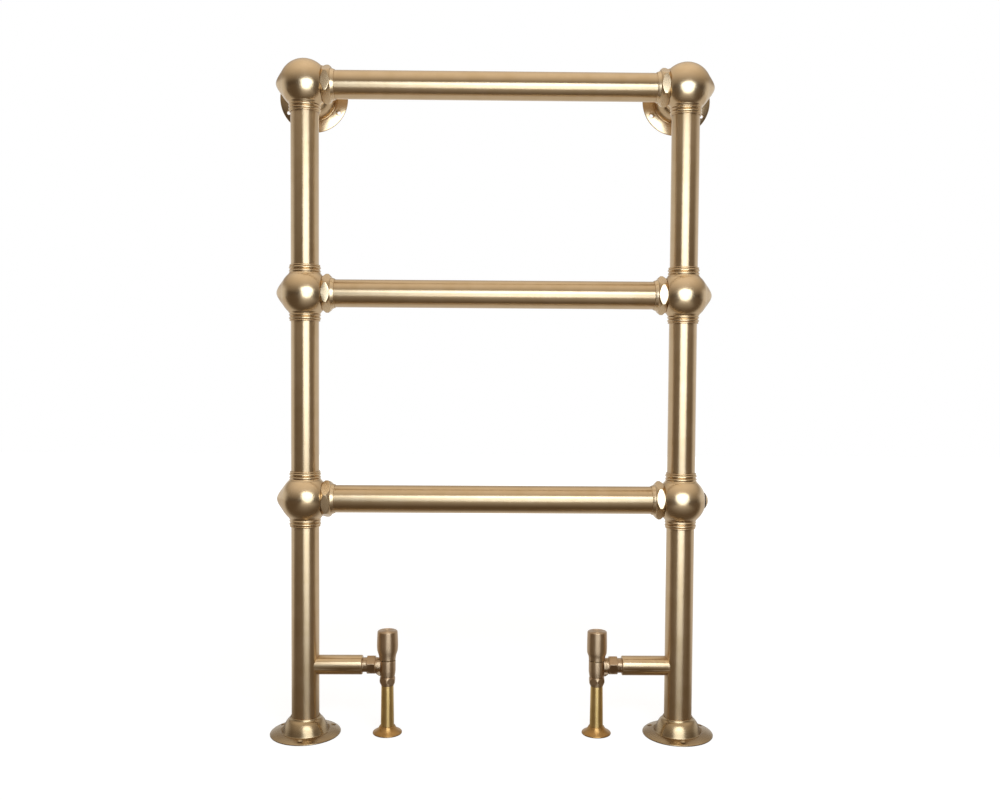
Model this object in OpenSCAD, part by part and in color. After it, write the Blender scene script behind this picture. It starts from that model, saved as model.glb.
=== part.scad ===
// Floor-standing towel rail of ball-jointed tube: two uprights on floor flanges, three bars on
// union nuts, two stays back to the wall, and an angle valve on a stub inside each foot.
// +Z is up, +X is to the viewer's right and +Y is towards the wall. The floor is z = 0.
// Each pair of handed pieces is drawn on the right (+X) side and mirrored for the left.

/* [Rail] */
// Distance between the centre lines of the two uprights
upright_spacing = 520; // [440:5:760]
// Height of the bottom bar's centre line above the floor
bottom_bar_z = 328; // [260:1:420]
// Distance from one bar's centre line to the next
bar_pitch = 283; // [160:1:400]
// Distance from the uprights' centre line to the wall's face
wall_reach = 72; // [68:1:110]
// Outer diameter of the uprights, the bars and the wall stays
tube_d = 38.1; // [35:0.1:39]
// Wall thickness of the uprights, the bars and the wall stays
tube_wall = 1.5; // [1:0.1:2.5]

/* [Ball joints] */
// Diameter of the hollow balls
ball_d = 68; // [66:0.5:74]
// Wall thickness of the balls
ball_wall = 5; // [4:0.1:6]
// Length of a reeded collar beyond the ball's surface
collar_l = 12.1; // [10:0.1:16]
// Wall thickness of a reeded collar at its outer bead
collar_wall = 2.3; // [1.6:0.1:2.6]
// Depth of the tube socket in a collar
socket_depth = 14.5; // [12:0.1:18]
// How far the pointed nub stands out past the ball
nub_h = 4.8; // [3:0.1:7]
// Radius of the nub's rounded tip
nub_tip_r = 11; // [5:0.1:13]
// Half angle of the nub's cone
nub_half_angle = 54; // [50:1:58]

/* [Bar unions] */
// Width across the flats of a bar's union nut
nut_af = 46.5; // [45:0.1:50]
// Length of the hexagon on a bar's union nut
nut_l = 11.5; // [11:0.1:16]
// Length of the tapered collar behind that hexagon
nut_collar_l = 5; // [3:0.1:9]
// Outer diameter of the threaded port that the nut screws on
port_d = 40.8; // [40.4:0.1:41.6]
// Length of that port past the nut's seat
port_l = 5.5; // [4:0.1:6]
// Bore of the port
port_bore_d = 28; // [20:0.5:32]
// Thickness of the seal between the port and the bar's tail
union_seal_t = 1.5; // [1:0.1:2]
// Thickness of the flange on a bar's tail
tail_flange_t = 3; // [2:0.1:3.4]
// Length of the tail that is brazed inside the bar
tail_sleeve_l = 11; // [6:0.5:20]

/* [Blanking plug] */
// Diameter of the plug's domed head
plug_head_d = 22; // [19:0.1:24]
// Diameter of the plug's thread
plug_thread_d = 18; // [14:0.1:18.4]
// Depth of the flat that the plug sits on, below the ball's surface
plug_flat_depth = 2.5; // [2:0.1:3]
// Height of the plug's head above its seal
plug_head_h = 4.8; // [4:0.1:6]
// Thickness of the plug's seal
plug_seal_t = 1.4; // [1:0.1:2]
// Width across the flats of the plug's key socket
plug_key_af = 8; // [6:0.5:10]

/* [Flanges] */
// Outer diameter of the floor and wall flanges
flange_d = 97.2; // [90:0.2:110]
// Thickness of their rims at the edge
flange_t = 1.6; // [1.4:0.1:3]
// Rise of the rims from the edge to the dome
rim_rise = 3; // [0:0.1:3.4]
// Height of their domes
flange_h = 25; // [18:0.5:26]
// Diameter of the dome where it meets the rim
dome_d = 64.4; // [58:0.2:70]
// Diameter of the circle that the three screw holes lie on
screw_circle_d = 83; // [80:0.5:86]
// Diameter of the screw holes
screw_hole_d = 5.5; // [4:0.1:6]

/* [Valve tails] */
// Height of the stubs' centre lines above the floor
stub_z = 96; // [90:1:130]
// Outer diameter of the stubs
stub_d = 26.6; // [25:0.1:30]
// Wall thickness of the stubs
stub_wall = 1.5; // [1:0.1:2]
// Distance from an upright's centre line to its stub's end
stub_end = 79.5; // [60:0.5:110]
// Distance from the stub's end to the valve's centre line
stub_to_valve = 34.5; // [32:0.1:40]

/* [Valves] */
// Outer diameter of the valve's barrel
barrel_d = 22.6; // [22:0.1:26]
// Height of the barrel's top above the inlet's centre line
barrel_top = 6.8; // [6.6:0.1:8]
// Depth of the barrel's foot below the inlet's centre line
barrel_foot = 15; // [14:0.1:17]
// Diameter of the thread that the valve's union nut screws on
inlet_thread_d = 20.4; // [19.5:0.1:20.8]
// Bore of the side port and of the union tail
inlet_bore_d = 13; // [10:0.1:13.4]
// Distance from the valve's centre line to its side port's face
inlet_face = 18.5; // [18:0.1:20]
// Width across the flats of the valve's union nut
inlet_nut_af = 24; // [23.6:0.1:28]
// Length of the valve's union nut
inlet_nut_l = 11.5; // [9:0.1:12.5]
// Bore of the valve's seat
seat_bore_d = 10; // [8:0.1:11]
// Outer diameter of the water pipe that the valve takes
pipe_d = 15; // [12:0.1:15.2]
// Depth of the pipe's socket in the valve
pipe_socket_l = 9; // [8:0.1:9.2]
// Width across the flats of the compression nut
compression_af = 20.6; // [20.4:0.1:24]
// Length of the compression nut
compression_l = 12.2; // [12.2:0.1:16]

/* [Valve heads] */
// Largest diameter of the handwheel
wheel_d = 29.4; // [28:0.1:36]
// Largest diameter of the lockshield's cap
cap_d = 27.8; // [27:0.1:34]
// Height of the handwheel and of the lockshield's cap
head_h = 40; // [38:0.1:48]
// Gap between the barrel's top and the head
head_gap = 1.1; // [0.8:0.1:2]
// Diameter of the valve spindle
spindle_d = 7; // [6:0.1:7.4]
// Width of the spindle's square
square_w = 5.4; // [4.5:0.1:5.6]
// Rise of the valve disc for one turn of the spindle
spindle_pitch = 1.5; // [1:0.1:1.6]
// Turns of the spindle from shut to open
spindle_turns = 2.5; // [1:0.5:2.5]

/* [Pipe covers] */
// Diameter of the pipe sleeve at its top
sleeve_top_d = 17; // [16.8:0.1:20]
// Diameter of the pipe sleeve at the floor
sleeve_foot_d = 18.8; // [17:0.1:24]
// Diameter of the floor rose
rose_d = 40.8; // [36:0.2:50]
// Height of the floor rose
rose_h = 10.5; // [8:0.1:16]

/* [Hidden] */
$fn = 96;

LEFT = -1;
RIGHT = 1;
SATIN_BRASS = "#B79A6B";
VALVE_BRASS = "#96785A";
YELLOW_BRASS = "#C29A45";
RAW_BRASS = "#C9AE72";
RUBBER = "#222222";
FIBRE = "#6E3B2C";
PLASTIC = "#D8D4C8";

// Clearances: brazed sockets, thread pairs, running fits and pieces that only pass each other
braze_gap = 0.05;
thread_gap = 0.1;
running_gap = 0.05;
pass_gap = 0.2;
clear_gap = 0.3;
eps = 0.01;

half_spacing = upright_spacing / 2;
middle_bar_z = bottom_bar_z + bar_pitch;
top_bar_z = middle_bar_z + bar_pitch;
BAR_HEIGHTS = [bottom_bar_z, middle_bar_z, top_bar_z];
tube_r = tube_d / 2;
tube_bore_r = tube_r - tube_wall;
// The rail's plane lies where the whole part is centred on the origin, front to back
rail_y = (flange_d / 2 - wall_reach) / 2;

// Ball joints, measured from the ball's centre
ball_r = ball_d / 2;
collar_r = tube_r + collar_wall;
collar_flare = 1.6;
collar_root_r = collar_r + collar_flare;
collar_start = sqrt(ball_r * ball_r - collar_r * collar_r);
collar_end = collar_start + collar_l;
socket_floor = collar_end - socket_depth;
groove_depth = 0.9;
groove_rise = 1.8;
lip_t = 1.3;
collar_groove = collar_start + groove_rise;
ball_core = 0.6 * ball_r;
nub_tip = ball_r + nub_h;
nub_centre = nub_tip - nub_tip_r;
nub_apex = nub_centre + nub_tip_r / sin(nub_half_angle);
nub_tangent = nub_centre + nub_tip_r * sin(nub_half_angle);
nub_tangent_r = nub_tip_r * cos(nub_half_angle);

// Bar unions, measured from the ball's centre along the bar
port_r = port_d / 2;
nut_seat = sqrt(ball_r * ball_r - nut_af * nut_af / 4);
port_face = nut_seat + port_l;
tail_face = port_face + union_seal_t;
bar_start = tail_face + tail_flange_t;
nut_start = nut_seat + pass_gap;
nut_bore_r = tube_r + pass_gap;
nut_collar_t = 2.2;
nut_lip_t = 0.5;
nut_foot_chamfer = 3.4;
nut_top_chamfer = 3.8;
nut_chamfer_slope = 1.15;
nut_thread_r = port_r + thread_gap;

plug_flat = ball_r - plug_flat_depth;
plug_boss_t = 4;
plug_boss_r = plug_thread_d / 2 + plug_boss_t;
plug_boss_l = 11;
plug_key_depth = 4;

flange_r = flange_d / 2;
flange_bore_r = tube_r + braze_gap * 2;
countersink_l = 1.3;
countersink_d = screw_hole_d + 2.6;
// Height of the rim's face at the circle of screw holes
screw_seat = flange_t + 0.66 * rim_rise;
foot_z = 0.5;
foot_plug_inset = 1;
foot_plug_t = 6;
stay_cap_t = 2;

// Valves, measured from where the barrel's and the inlet's centre lines cross
valve_reach = stub_end + stub_to_valve;
stub_r = stub_d / 2;
stub_bore_r = stub_r - stub_wall;
stub_wall_l = 9.5;
stub_window_r = 10;
inlet_thread_r = inlet_thread_d / 2;
inlet_bore_r = inlet_bore_d / 2;
inlet_washer_t = 1;
inlet_flange_face = inlet_face + inlet_washer_t;
inlet_flange_t = 3;
inlet_flange_r = inlet_thread_r - pass_gap;
inlet_tail_t = 1.5;
inlet_tail_r = inlet_bore_r + inlet_tail_t;
inlet_nut_overlap = 2;
inlet_nut_chamfer = 1.5;
inlet_nut_turn = 11;
inlet_nut_start = inlet_face - inlet_nut_overlap;
inlet_nut_end = inlet_nut_start + inlet_nut_l;
inlet_nut_shoulder = inlet_flange_face + inlet_flange_t + thread_gap;
tail_neck_start = inlet_nut_end + clear_gap;
barrel_r = barrel_d / 2;
barrel_taper = 1;
barrel_taper_l = 7;
barrel_foot_r = barrel_r - barrel_taper;
seat_z = -8.5;
chamber_r = 8.2;
pipe_r = pipe_d / 2;
pipe_socket_r = pipe_r + braze_gap;
pipe_stop_depth = 1;
pipe_stop_z = -barrel_foot - pipe_stop_depth;
pipe_thread_t = 1.7;
pipe_thread_r = pipe_r + pipe_thread_t;
pipe_thread_end = pipe_stop_z - pipe_socket_l;
olive_l = 4;
olive_t = 1.2;
olive_r = pipe_socket_r + olive_t;
olive_seat_depth = 1.2;
olive_top = pipe_thread_end + olive_seat_depth;
compression_gap = 1.6;
compression_top = -barrel_foot - compression_gap;
compression_foot = compression_top - compression_l;
compression_hole_r = pipe_r + clear_gap;
compression_face_t = 0.8;
compression_foot_chamfer = 3.2;
compression_top_chamfer = 1.6;
compression_slope = 2.2;

// Valve headwork, spindle and disc
headwork_skirt_r = chamber_r - thread_gap;
headwork_skirt_foot = 1;
headwork_af = 16;
headwork_hex_h = 3.2;
headwork_hex_top = barrel_top + headwork_hex_h;
tower_r = 6.5;
tower_h = 12.2;
tower_top = barrel_top + tower_h;
guide_af = 11.2;
guide_h = 5.2;
guide_top = barrel_top + guide_h;
carrier_af = guide_af - 2 * thread_gap;
spindle_r = spindle_d / 2;
spindle_bore_r = spindle_r + running_gap;
o_ring_r = 0.75;
o_ring_z = (guide_top + tower_top) / 2;
spindle_collar_t = 1.4;
spindle_collar_gap = 0.8;
spindle_collar_r = guide_af / 2 - spindle_collar_gap;
spindle_collar_z = guide_top - spindle_collar_t - thread_gap;
spindle_thread_depth = 0.6;
thread_rod_r = spindle_r - spindle_thread_depth;
disc_lift = spindle_pitch * spindle_turns;
washer_t = 2.5;
seat_overlap = 1.3;
washer_r = seat_bore_d / 2 + seat_overlap;
washer_z = seat_z + thread_gap;
carrier_z = washer_z + washer_t;
carrier_flange_t = 2;
carrier_floor_t = 1;
stroke_clearance = 0.5;
carrier_top = spindle_collar_z - disc_lift - stroke_clearance;
carrier_bore_foot = carrier_z + carrier_floor_t;
rod_end = carrier_bore_foot + disc_lift + stroke_clearance;

// Handwheel and lockshield cap
wheel_r = wheel_d / 2;
cap_r = cap_d / 2;
head_foot = barrel_top + head_gap;
head_top = head_foot + head_h;
head_taper = 3.3;
wheel_swell_l = 15.5;
wheel_draw_in = 0.8;
wheel_edge = 1.3;
cap_swell_l = 11;
cap_draw_in = 0.4;
cap_edge = 0.8;
head_foot_r = wheel_r - head_taper;
head_wall = 1.7;
head_bore_r = head_foot_r - head_wall;
head_crown_t = 5.5;
head_bore_top = head_top - head_crown_t;
insert_r = head_bore_r - braze_gap;
insert_depth = 16;
insert_foot = head_foot + insert_depth;
square_offset = 2;
wheel_square_foot = insert_foot + square_offset;
wheel_square_l = 8;
lock_square_foot = tower_top + square_offset;
lock_square_l = 6;
grip_offset = 2;
grip_foot = headwork_hex_top + grip_offset;
grip_l = 5;

// Pipe covers, measured from the floor
sleeve_top = stub_z + compression_foot;
sleeve_bore_r = pipe_r + clear_gap;
rose_bore_r = sleeve_foot_d / 2 + thread_gap;
rose_t = 1.2;
rose_edge_t = 1.6;

// Width over the corners of a hexagon of a given width across its flats
function over_corners(af) = af / cos(30);

module hand(side)
{
    translate([0, rail_y, 0])
        if (side == LEFT)
            mirror([1, 0, 0])
                children();
        else
            children();
}

module hexagon_bar(af, l)
{
    cylinder(d = over_corners(af), h = l, $fn = 6);
}

// A hexagon whose two ends are chamfered; the slope is a chamfer's length over its depth
module chamfered_hexagon(af, l, foot_chamfer, top_chamfer, slope = 0.6)
{
    corner_r = over_corners(af) / 2;
    intersection()
    {
        hexagon_bar(af, l);
        rotate_extrude()
            polygon([[0, 0], [corner_r - foot_chamfer, 0], [corner_r + 0.1, (foot_chamfer + 0.1) * slope],
                [corner_r + 0.1, l - (top_chamfer + 0.1) * slope], [corner_r - top_chamfer, l], [0, l]]);
    }
}

// A reeded collar that points along +Z from the ball's centre
module reeded_collar()
{
    rotate_extrude()
        polygon([[0, ball_core], [collar_root_r, ball_core], [collar_root_r, collar_groove - groove_depth],
            [collar_r - groove_depth, collar_groove], [collar_r, collar_groove + groove_depth],
            [collar_r, collar_end - lip_t], [collar_r - 0.3 * collar_wall, collar_end - 0.3 * lip_t],
            [tube_r + 0.25 * collar_wall, collar_end], [0, collar_end]]);
}

module tube_socket()
{
    translate([0, 0, socket_floor])
        cylinder(r = tube_r + braze_gap, h = socket_depth + 1);
}

// A ball with a low cone on its +Z side that ends in a rounded tip
module pointed_ball()
{
    cone_foot = ball_r * sin(nub_half_angle);
    cone_foot_r = (nub_apex - cone_foot) * tan(nub_half_angle);
    sphere(r = ball_r);
    translate([0, 0, cone_foot])
        cylinder(r1 = cone_foot_r, r2 = nub_tangent_r, h = nub_tangent - cone_foot);
    translate([0, 0, nub_centre])
        sphere(r = nub_tip_r);
}

// A ball joint on the right side: its outer side faces +X, its bar port faces -X
module ball_joint(up, down, back, nub)
{
    difference()
    {
        union()
        {
            if (nub)
                rotate([0, 90, 0])
                    pointed_ball();
            else
                intersection()
                {
                    sphere(r = ball_r);
                    translate([plug_flat - 2 * ball_r, -ball_r, -ball_r])
                        cube([2 * ball_r, 2 * ball_r, 2 * ball_r]);
                }
            if (up)
                reeded_collar();
            if (down)
                rotate([180, 0, 0])
                    reeded_collar();
            if (back)
                rotate([-90, 0, 0])
                    reeded_collar();
        }
        difference()
        {
            sphere(r = ball_r - ball_wall);
            if (!nub)
                translate([plug_flat - plug_boss_l, 0, 0])
                    rotate([0, 90, 0])
                        cylinder(r = plug_boss_r, h = plug_boss_l);
        }
        if (up)
            tube_socket();
        if (down)
            rotate([180, 0, 0])
                tube_socket();
        if (back)
            rotate([-90, 0, 0])
                tube_socket();
        // The spot face that the union nut seats on
        translate([-nut_seat, 0, 0])
            rotate([0, -90, 0])
                cylinder(r = ball_r, h = ball_r);
        if (!nub)
            rotate([0, 90, 0])
                cylinder(d = plug_thread_d + 2 * thread_gap, h = ball_r);
        rotate([0, -90, 0])
            cylinder(d = port_bore_d, h = ball_r);
    }
    translate([-port_face, 0, 0])
        rotate([0, 90, 0])
            difference()
            {
                cylinder(r = port_r, h = port_face - nut_seat + ball_wall);
                translate([0, 0, -1])
                    cylinder(d = port_bore_d, h = ball_r);
            }
}

module union_nut(turn)
{
    translate([-nut_start, 0, 0])
        rotate([0, -90, 0])
            rotate([0, 0, turn])
                difference()
                {
                    union()
                    {
                        chamfered_hexagon(nut_af, nut_l, nut_foot_chamfer, nut_top_chamfer,
                            nut_chamfer_slope);
                        translate([0, 0, nut_l - eps])
                            cylinder(r1 = nut_bore_r + nut_collar_t, r2 = nut_bore_r + nut_lip_t,
                                h = nut_collar_l + eps);
                    }
                    translate([0, 0, -1])
                        cylinder(r = nut_thread_r, h = bar_start - nut_start + thread_gap + 1);
                    cylinder(r = nut_bore_r, h = nut_l + nut_collar_l + 1);
                }
}

module plain_tube(r, bore_r, l)
{
    difference()
    {
        cylinder(r = r, h = l);
        translate([0, 0, -1])
            cylinder(r = bore_r, h = l + 2);
    }
}

module upright_tube(foot, top)
{
    translate([half_spacing, 0, foot])
        plain_tube(tube_r, tube_bore_r, top - foot);
}

// The lower tube has a window into its stub
module lower_upright()
{
    difference()
    {
        upright_tube(foot_z, bottom_bar_z - socket_floor);
        translate([half_spacing, 0, stub_z])
            rotate([0, -90, 0])
                cylinder(r = stub_window_r, h = tube_r + 1);
    }
}

module foot_plug()
{
    translate([half_spacing, 0, foot_z + foot_plug_inset])
        cylinder(r = tube_bore_r - braze_gap, h = foot_plug_t);
}

module bar(z)
{
    translate([bar_start - half_spacing, rail_y, z])
        rotate([0, 90, 0])
            plain_tube(tube_r, tube_bore_r, upright_spacing - 2 * bar_start);
}

// The flanged tail that is brazed into a bar's end
module bar_tail(z)
{
    flange_out_r = port_r - 0.1;
    sleeve_r = tube_bore_r - braze_gap;
    translate([half_spacing - tail_face, 0, z])
        rotate([0, -90, 0])
            difference()
            {
                union()
                {
                    cylinder(r = flange_out_r, h = tail_flange_t);
                    cylinder(r = sleeve_r, h = tail_flange_t + tail_sleeve_l);
                }
                translate([0, 0, -1])
                    cylinder(d = port_bore_d, h = tail_flange_t + tail_sleeve_l + 2);
            }
}

module bar_seal(z)
{
    translate([half_spacing - port_face, 0, z])
        rotate([0, -90, 0])
            plain_tube(port_r - 0.4, port_bore_d / 2, union_seal_t);
}

module blanking_plug_solid()
{
    plug_r = plug_head_d / 2;
    crown_r = (plug_r * plug_r + plug_head_h * plug_head_h) / (2 * plug_head_h);
    difference()
    {
        union()
        {
            translate([0, 0, plug_flat + plug_seal_t])
                intersection()
                {
                    translate([0, 0, plug_head_h - crown_r])
                        sphere(r = crown_r);
                    cylinder(r = plug_r + 1, h = plug_head_h + 1);
                }
            translate([0, 0, plug_flat - plug_boss_l])
                cylinder(d = plug_thread_d, h = plug_boss_l + plug_seal_t + 0.5);
        }
        translate([0, 0, plug_flat - plug_key_depth])
            hexagon_bar(plug_key_af, ball_r);
    }
}

// A flange that stands on z = 0: a rim that slopes up to a small step, and a bell above it
module flange()
{
    dome_r = dome_d / 2;
    edge_round = 0.5;
    step_w = 1.9;
    step_h = 1;
    rim_top = flange_t + rim_rise;
    bell = flange_h - rim_top;
    neck_r = flange_bore_r + 0.8;
    bell_w = dome_r - neck_r;
    difference()
    {
        rotate_extrude()
            polygon([[flange_bore_r, 0], [flange_r - edge_round, 0], [flange_r, edge_round],
                [flange_r, flange_t - edge_round], [flange_r - edge_round, flange_t + 0.1],
                [(flange_r + dome_r + step_w) / 2, screw_seat], [dome_r + step_w, rim_top],
                [dome_r + step_w - 0.6, rim_top - step_h], [dome_r + 0.3, rim_top - step_h],
                [dome_r - 0.04 * bell_w, rim_top], [dome_r - 0.2 * bell_w, rim_top + 0.3 * bell],
                [dome_r - 0.44 * bell_w, rim_top + 0.6 * bell],
                [dome_r - 0.57 * bell_w, rim_top + 0.72 * bell],
                [dome_r - 0.78 * bell_w, rim_top + 0.82 * bell],
                [dome_r - 0.9 * bell_w, rim_top + 0.92 * bell], [neck_r, flange_h - 0.4],
                [neck_r - 0.4, flange_h], [flange_bore_r, flange_h]]);
        for (turn = [30, 150, 270])
            rotate([0, 0, turn])
                translate([screw_circle_d / 2, 0, 0])
                {
                    translate([0, 0, -1])
                        cylinder(d = screw_hole_d, h = flange_h);
                    translate([0, 0, screw_seat - countersink_l])
                        cylinder(d1 = screw_hole_d, d2 = 2 * countersink_d - screw_hole_d,
                            h = 2 * countersink_l);
                }
    }
}

module floor_flange()
{
    translate([half_spacing, 0, 0])
        flange();
}

module wall_flange()
{
    translate([half_spacing, wall_reach, top_bar_z])
        rotate([90, 0, 0])
            rotate([0, 0, 180])
                flange();
}

// A short tube from a top ball to the wall, closed at its wall end
module wall_stay()
{
    wall_end = wall_reach - foot_z;
    translate([half_spacing, socket_floor, top_bar_z])
        rotate([-90, 0, 0])
            difference()
            {
                cylinder(r = tube_r, h = wall_end - socket_floor);
                translate([0, 0, -1])
                    cylinder(r = tube_bore_r, h = wall_end - socket_floor - stay_cap_t + 1);
            }
}

module stub()
{
    translate([half_spacing, 0, stub_z])
        rotate([0, -90, 0])
            difference()
            {
                union()
                {
                    cylinder(r = stub_r, h = stub_end - 1);
                    translate([0, 0, stub_end - 1])
                        cylinder(r1 = stub_r, r2 = stub_r - 1, h = 1);
                }
                cylinder(r = stub_bore_r, h = stub_end - stub_wall_l);
                cylinder(r = inlet_tail_r + thread_gap, h = stub_end + 1);
                rotate([0, 90, 0])
                    translate([0, 0, -stub_z])
                        cylinder(r = tube_r, h = 2 * stub_z);
            }
}

// Children of this are drawn around the right valve's own centre, with the stub towards +X
module at_valve()
{
    translate([half_spacing - valve_reach, 0, stub_z])
        children();
}

module valve_body()
{
    web_t = 9;
    mouth_l = 2.8;
    difference()
    {
        union()
        {
            translate([0, 0, -barrel_foot])
                cylinder(r1 = barrel_foot_r, r2 = barrel_r, h = barrel_taper_l);
            translate([0, 0, barrel_taper_l - barrel_foot])
                cylinder(r = barrel_r, h = barrel_foot + barrel_top - barrel_taper_l);
            translate([0, 0, pipe_thread_end])
                cylinder(r = pipe_thread_r, h = barrel_foot);
            rotate([0, 90, 0])
                cylinder(r = inlet_thread_r, h = inlet_face);
            // The web that blends the inlet into the barrel's foot
            translate([0, web_t / 2, 0])
                rotate([90, 0, 0])
                    linear_extrude(web_t)
                        polygon([[0, 0], [inlet_nut_start - 0.3, -inlet_thread_r + 1],
                            [inlet_nut_start - 0.6, -inlet_thread_r - 0.6],
                            [inlet_nut_start - 2.4, -inlet_thread_r - 2.2],
                            [barrel_r, -barrel_foot + 1.4], [barrel_foot_r, -barrel_foot],
                            [0, -barrel_foot]]);
        }
        // The flat top that lets the head turn over the inlet's thread
        translate([0, 0, barrel_top])
            cylinder(r = head_foot_r + head_gap, h = head_h);
        translate([0, 0, seat_z])
            cylinder(r = chamber_r, h = barrel_top - seat_z + 1);
        translate([0, 0, pipe_thread_end - 1])
            cylinder(d = seat_bore_d, h = barrel_foot * 2);
        translate([0, 0, pipe_thread_end - 1])
            cylinder(r = pipe_socket_r, h = pipe_socket_l + 1);
        translate([0, 0, pipe_thread_end - eps])
            cylinder(r1 = pipe_thread_r - 0.25, r2 = pipe_socket_r - eps, h = mouth_l);
        rotate([0, 90, 0])
            cylinder(r = inlet_bore_r, h = inlet_face + 1);
    }
}

module valve_tail()
{
    thread_l = stub_wall_l - 0.5;
    rotate([0, 90, 0])
        difference()
        {
            union()
            {
                translate([0, 0, inlet_flange_face])
                    cylinder(r = inlet_flange_r, h = inlet_flange_t);
                translate([0, 0, inlet_flange_face])
                    cylinder(r = inlet_tail_r, h = stub_to_valve + thread_l - inlet_flange_face);
                translate([0, 0, tail_neck_start])
                    cylinder(r = inlet_flange_r, h = stub_to_valve - tail_neck_start);
            }
            translate([0, 0, inlet_flange_face - 1])
                cylinder(r = inlet_bore_r, h = stub_to_valve + stub_wall_l);
        }
}

module valve_union_nut()
{
    translate([inlet_nut_start, 0, 0])
        rotate([0, 90, 0])
            difference()
            {
                rotate([0, 0, inlet_nut_turn])
                    chamfered_hexagon(inlet_nut_af, inlet_nut_l, inlet_nut_chamfer, inlet_nut_chamfer);
                translate([0, 0, -1])
                    cylinder(r = inlet_thread_r + thread_gap,
                        h = inlet_nut_shoulder - inlet_nut_start + 1);
                cylinder(r = inlet_tail_r + thread_gap, h = inlet_nut_l + 1);
            }
}

module valve_union_washer()
{
    translate([inlet_face, 0, 0])
        rotate([0, 90, 0])
            plain_tube(inlet_flange_r, inlet_bore_r, inlet_washer_t);
}

module compression_nut()
{
    cone_l = 1.5;
    translate([0, 0, compression_foot])
        difference()
        {
            rotate([0, 0, 30])
                chamfered_hexagon(compression_af, compression_l, compression_foot_chamfer,
                    compression_top_chamfer, compression_slope);
            translate([0, 0, cone_l + compression_face_t])
                cylinder(r = pipe_thread_r + thread_gap, h = compression_l);
            translate([0, 0, compression_face_t])
                cylinder(r1 = compression_hole_r - eps, r2 = pipe_thread_r + thread_gap, h = cone_l + eps);
            translate([0, 0, -1])
                cylinder(r = compression_hole_r, h = compression_l);
        }
}

module olive()
{
    end_r = pipe_socket_r + 0.3;
    translate([0, 0, olive_top - olive_l])
        rotate_extrude()
            polygon([[pipe_socket_r, 0], [end_r, 0], [olive_r, olive_l / 2], [end_r, olive_l],
                [pipe_socket_r, olive_l]]);
}

module headwork()
{
    difference()
    {
        union()
        {
            translate([0, 0, headwork_skirt_foot])
                cylinder(r = headwork_skirt_r, h = barrel_top - headwork_skirt_foot);
            translate([0, 0, barrel_top])
                chamfered_hexagon(headwork_af, headwork_hex_top - barrel_top, 0, 0.8);
            translate([0, 0, headwork_hex_top - 1])
                cylinder(r = tower_r, h = tower_top - headwork_hex_top + 1);
        }
        translate([0, 0, headwork_skirt_foot - 1])
            hexagon_bar(guide_af, guide_top - headwork_skirt_foot + 1);
        translate([0, 0, guide_top - 1])
            cylinder(r = spindle_bore_r, h = tower_top);
        translate([0, 0, o_ring_z - o_ring_r - 0.1])
            cylinder(r = spindle_bore_r + 2 * o_ring_r, h = 2 * o_ring_r + 0.2);
    }
}

module spindle_o_ring()
{
    translate([0, 0, o_ring_z])
        rotate_extrude()
            translate([spindle_bore_r + o_ring_r, 0])
                circle(r = o_ring_r - eps, $fn = 32);
}

// A spindle that turns in place, with a square at its top and a thread rod at its foot
module spindle(square_foot, square_l)
{
    translate([0, 0, rod_end])
        cylinder(r = thread_rod_r, h = spindle_collar_z - rod_end + eps);
    translate([0, 0, spindle_collar_z])
        cylinder(r = spindle_collar_r, h = spindle_collar_t);
    translate([0, 0, spindle_collar_z])
        cylinder(r = spindle_r, h = square_foot - spindle_collar_z);
    translate([-square_w / 2, -square_w / 2, square_foot - 1])
        cube([square_w, square_w, square_l + 1]);
}

// The carrier slides in the headwork's hexagon and can't turn, so the spindle's thread lifts it
module disc_carrier()
{
    difference()
    {
        union()
        {
            translate([0, 0, carrier_z])
                cylinder(r = washer_r, h = carrier_flange_t);
            translate([0, 0, carrier_z])
                hexagon_bar(carrier_af, carrier_top - carrier_z);
        }
        translate([0, 0, carrier_bore_foot])
            cylinder(r = thread_rod_r + thread_gap, h = carrier_top - carrier_bore_foot + 1);
    }
}

module disc_washer()
{
    translate([0, 0, washer_z])
        cylinder(r = washer_r, h = washer_t);
}

// The shell of the handwheel or of the lockshield's cap, which swells over a length above its foot
module head_shell(head_r, swell_l, draw_in, edge)
{
    swell = head_r - head_foot_r;
    top_r = head_r - draw_in;
    difference()
    {
        rotate_extrude()
            polygon([[0, head_foot], [head_foot_r, head_foot],
                [head_foot_r + 0.07 * swell, head_foot + 0.25 * swell_l],
                [head_foot_r + 0.24 * swell, head_foot + 0.45 * swell_l],
                [head_foot_r + 0.55 * swell, head_foot + 0.62 * swell_l],
                [head_foot_r + 0.82 * swell, head_foot + 0.8 * swell_l],
                [head_foot_r + 0.95 * swell, head_foot + swell_l], [head_r, head_foot + 1.3 * swell_l],
                [head_r - 0.1 * draw_in, head_top - 16], [head_r - 0.5 * draw_in, head_top - 8],
                [top_r, head_top - edge], [top_r - 0.3 * edge, head_top - 0.3 * edge],
                [top_r - edge, head_top], [0, head_top]]);
        translate([0, 0, head_foot - 1])
            cylinder(r = head_bore_r, h = head_bore_top - head_foot + 1);
    }
}

module wheel_insert()
{
    difference()
    {
        translate([0, 0, insert_foot])
            cylinder(r = insert_r, h = head_bore_top - insert_foot);
        translate([0, 0, insert_foot - 1])
            cylinder(r = spindle_r + clear_gap, h = wheel_square_foot - insert_foot + 1);
        translate([-square_w / 2 - running_gap, -square_w / 2 - running_gap, insert_foot])
            cube([square_w + 2 * running_gap, square_w + 2 * running_gap,
                square_offset + wheel_square_l + stroke_clearance]);
    }
}

module grip_ring()
{
    translate([0, 0, grip_foot])
        plain_tube(insert_r, tower_r + thread_gap, grip_l);
}

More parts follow.
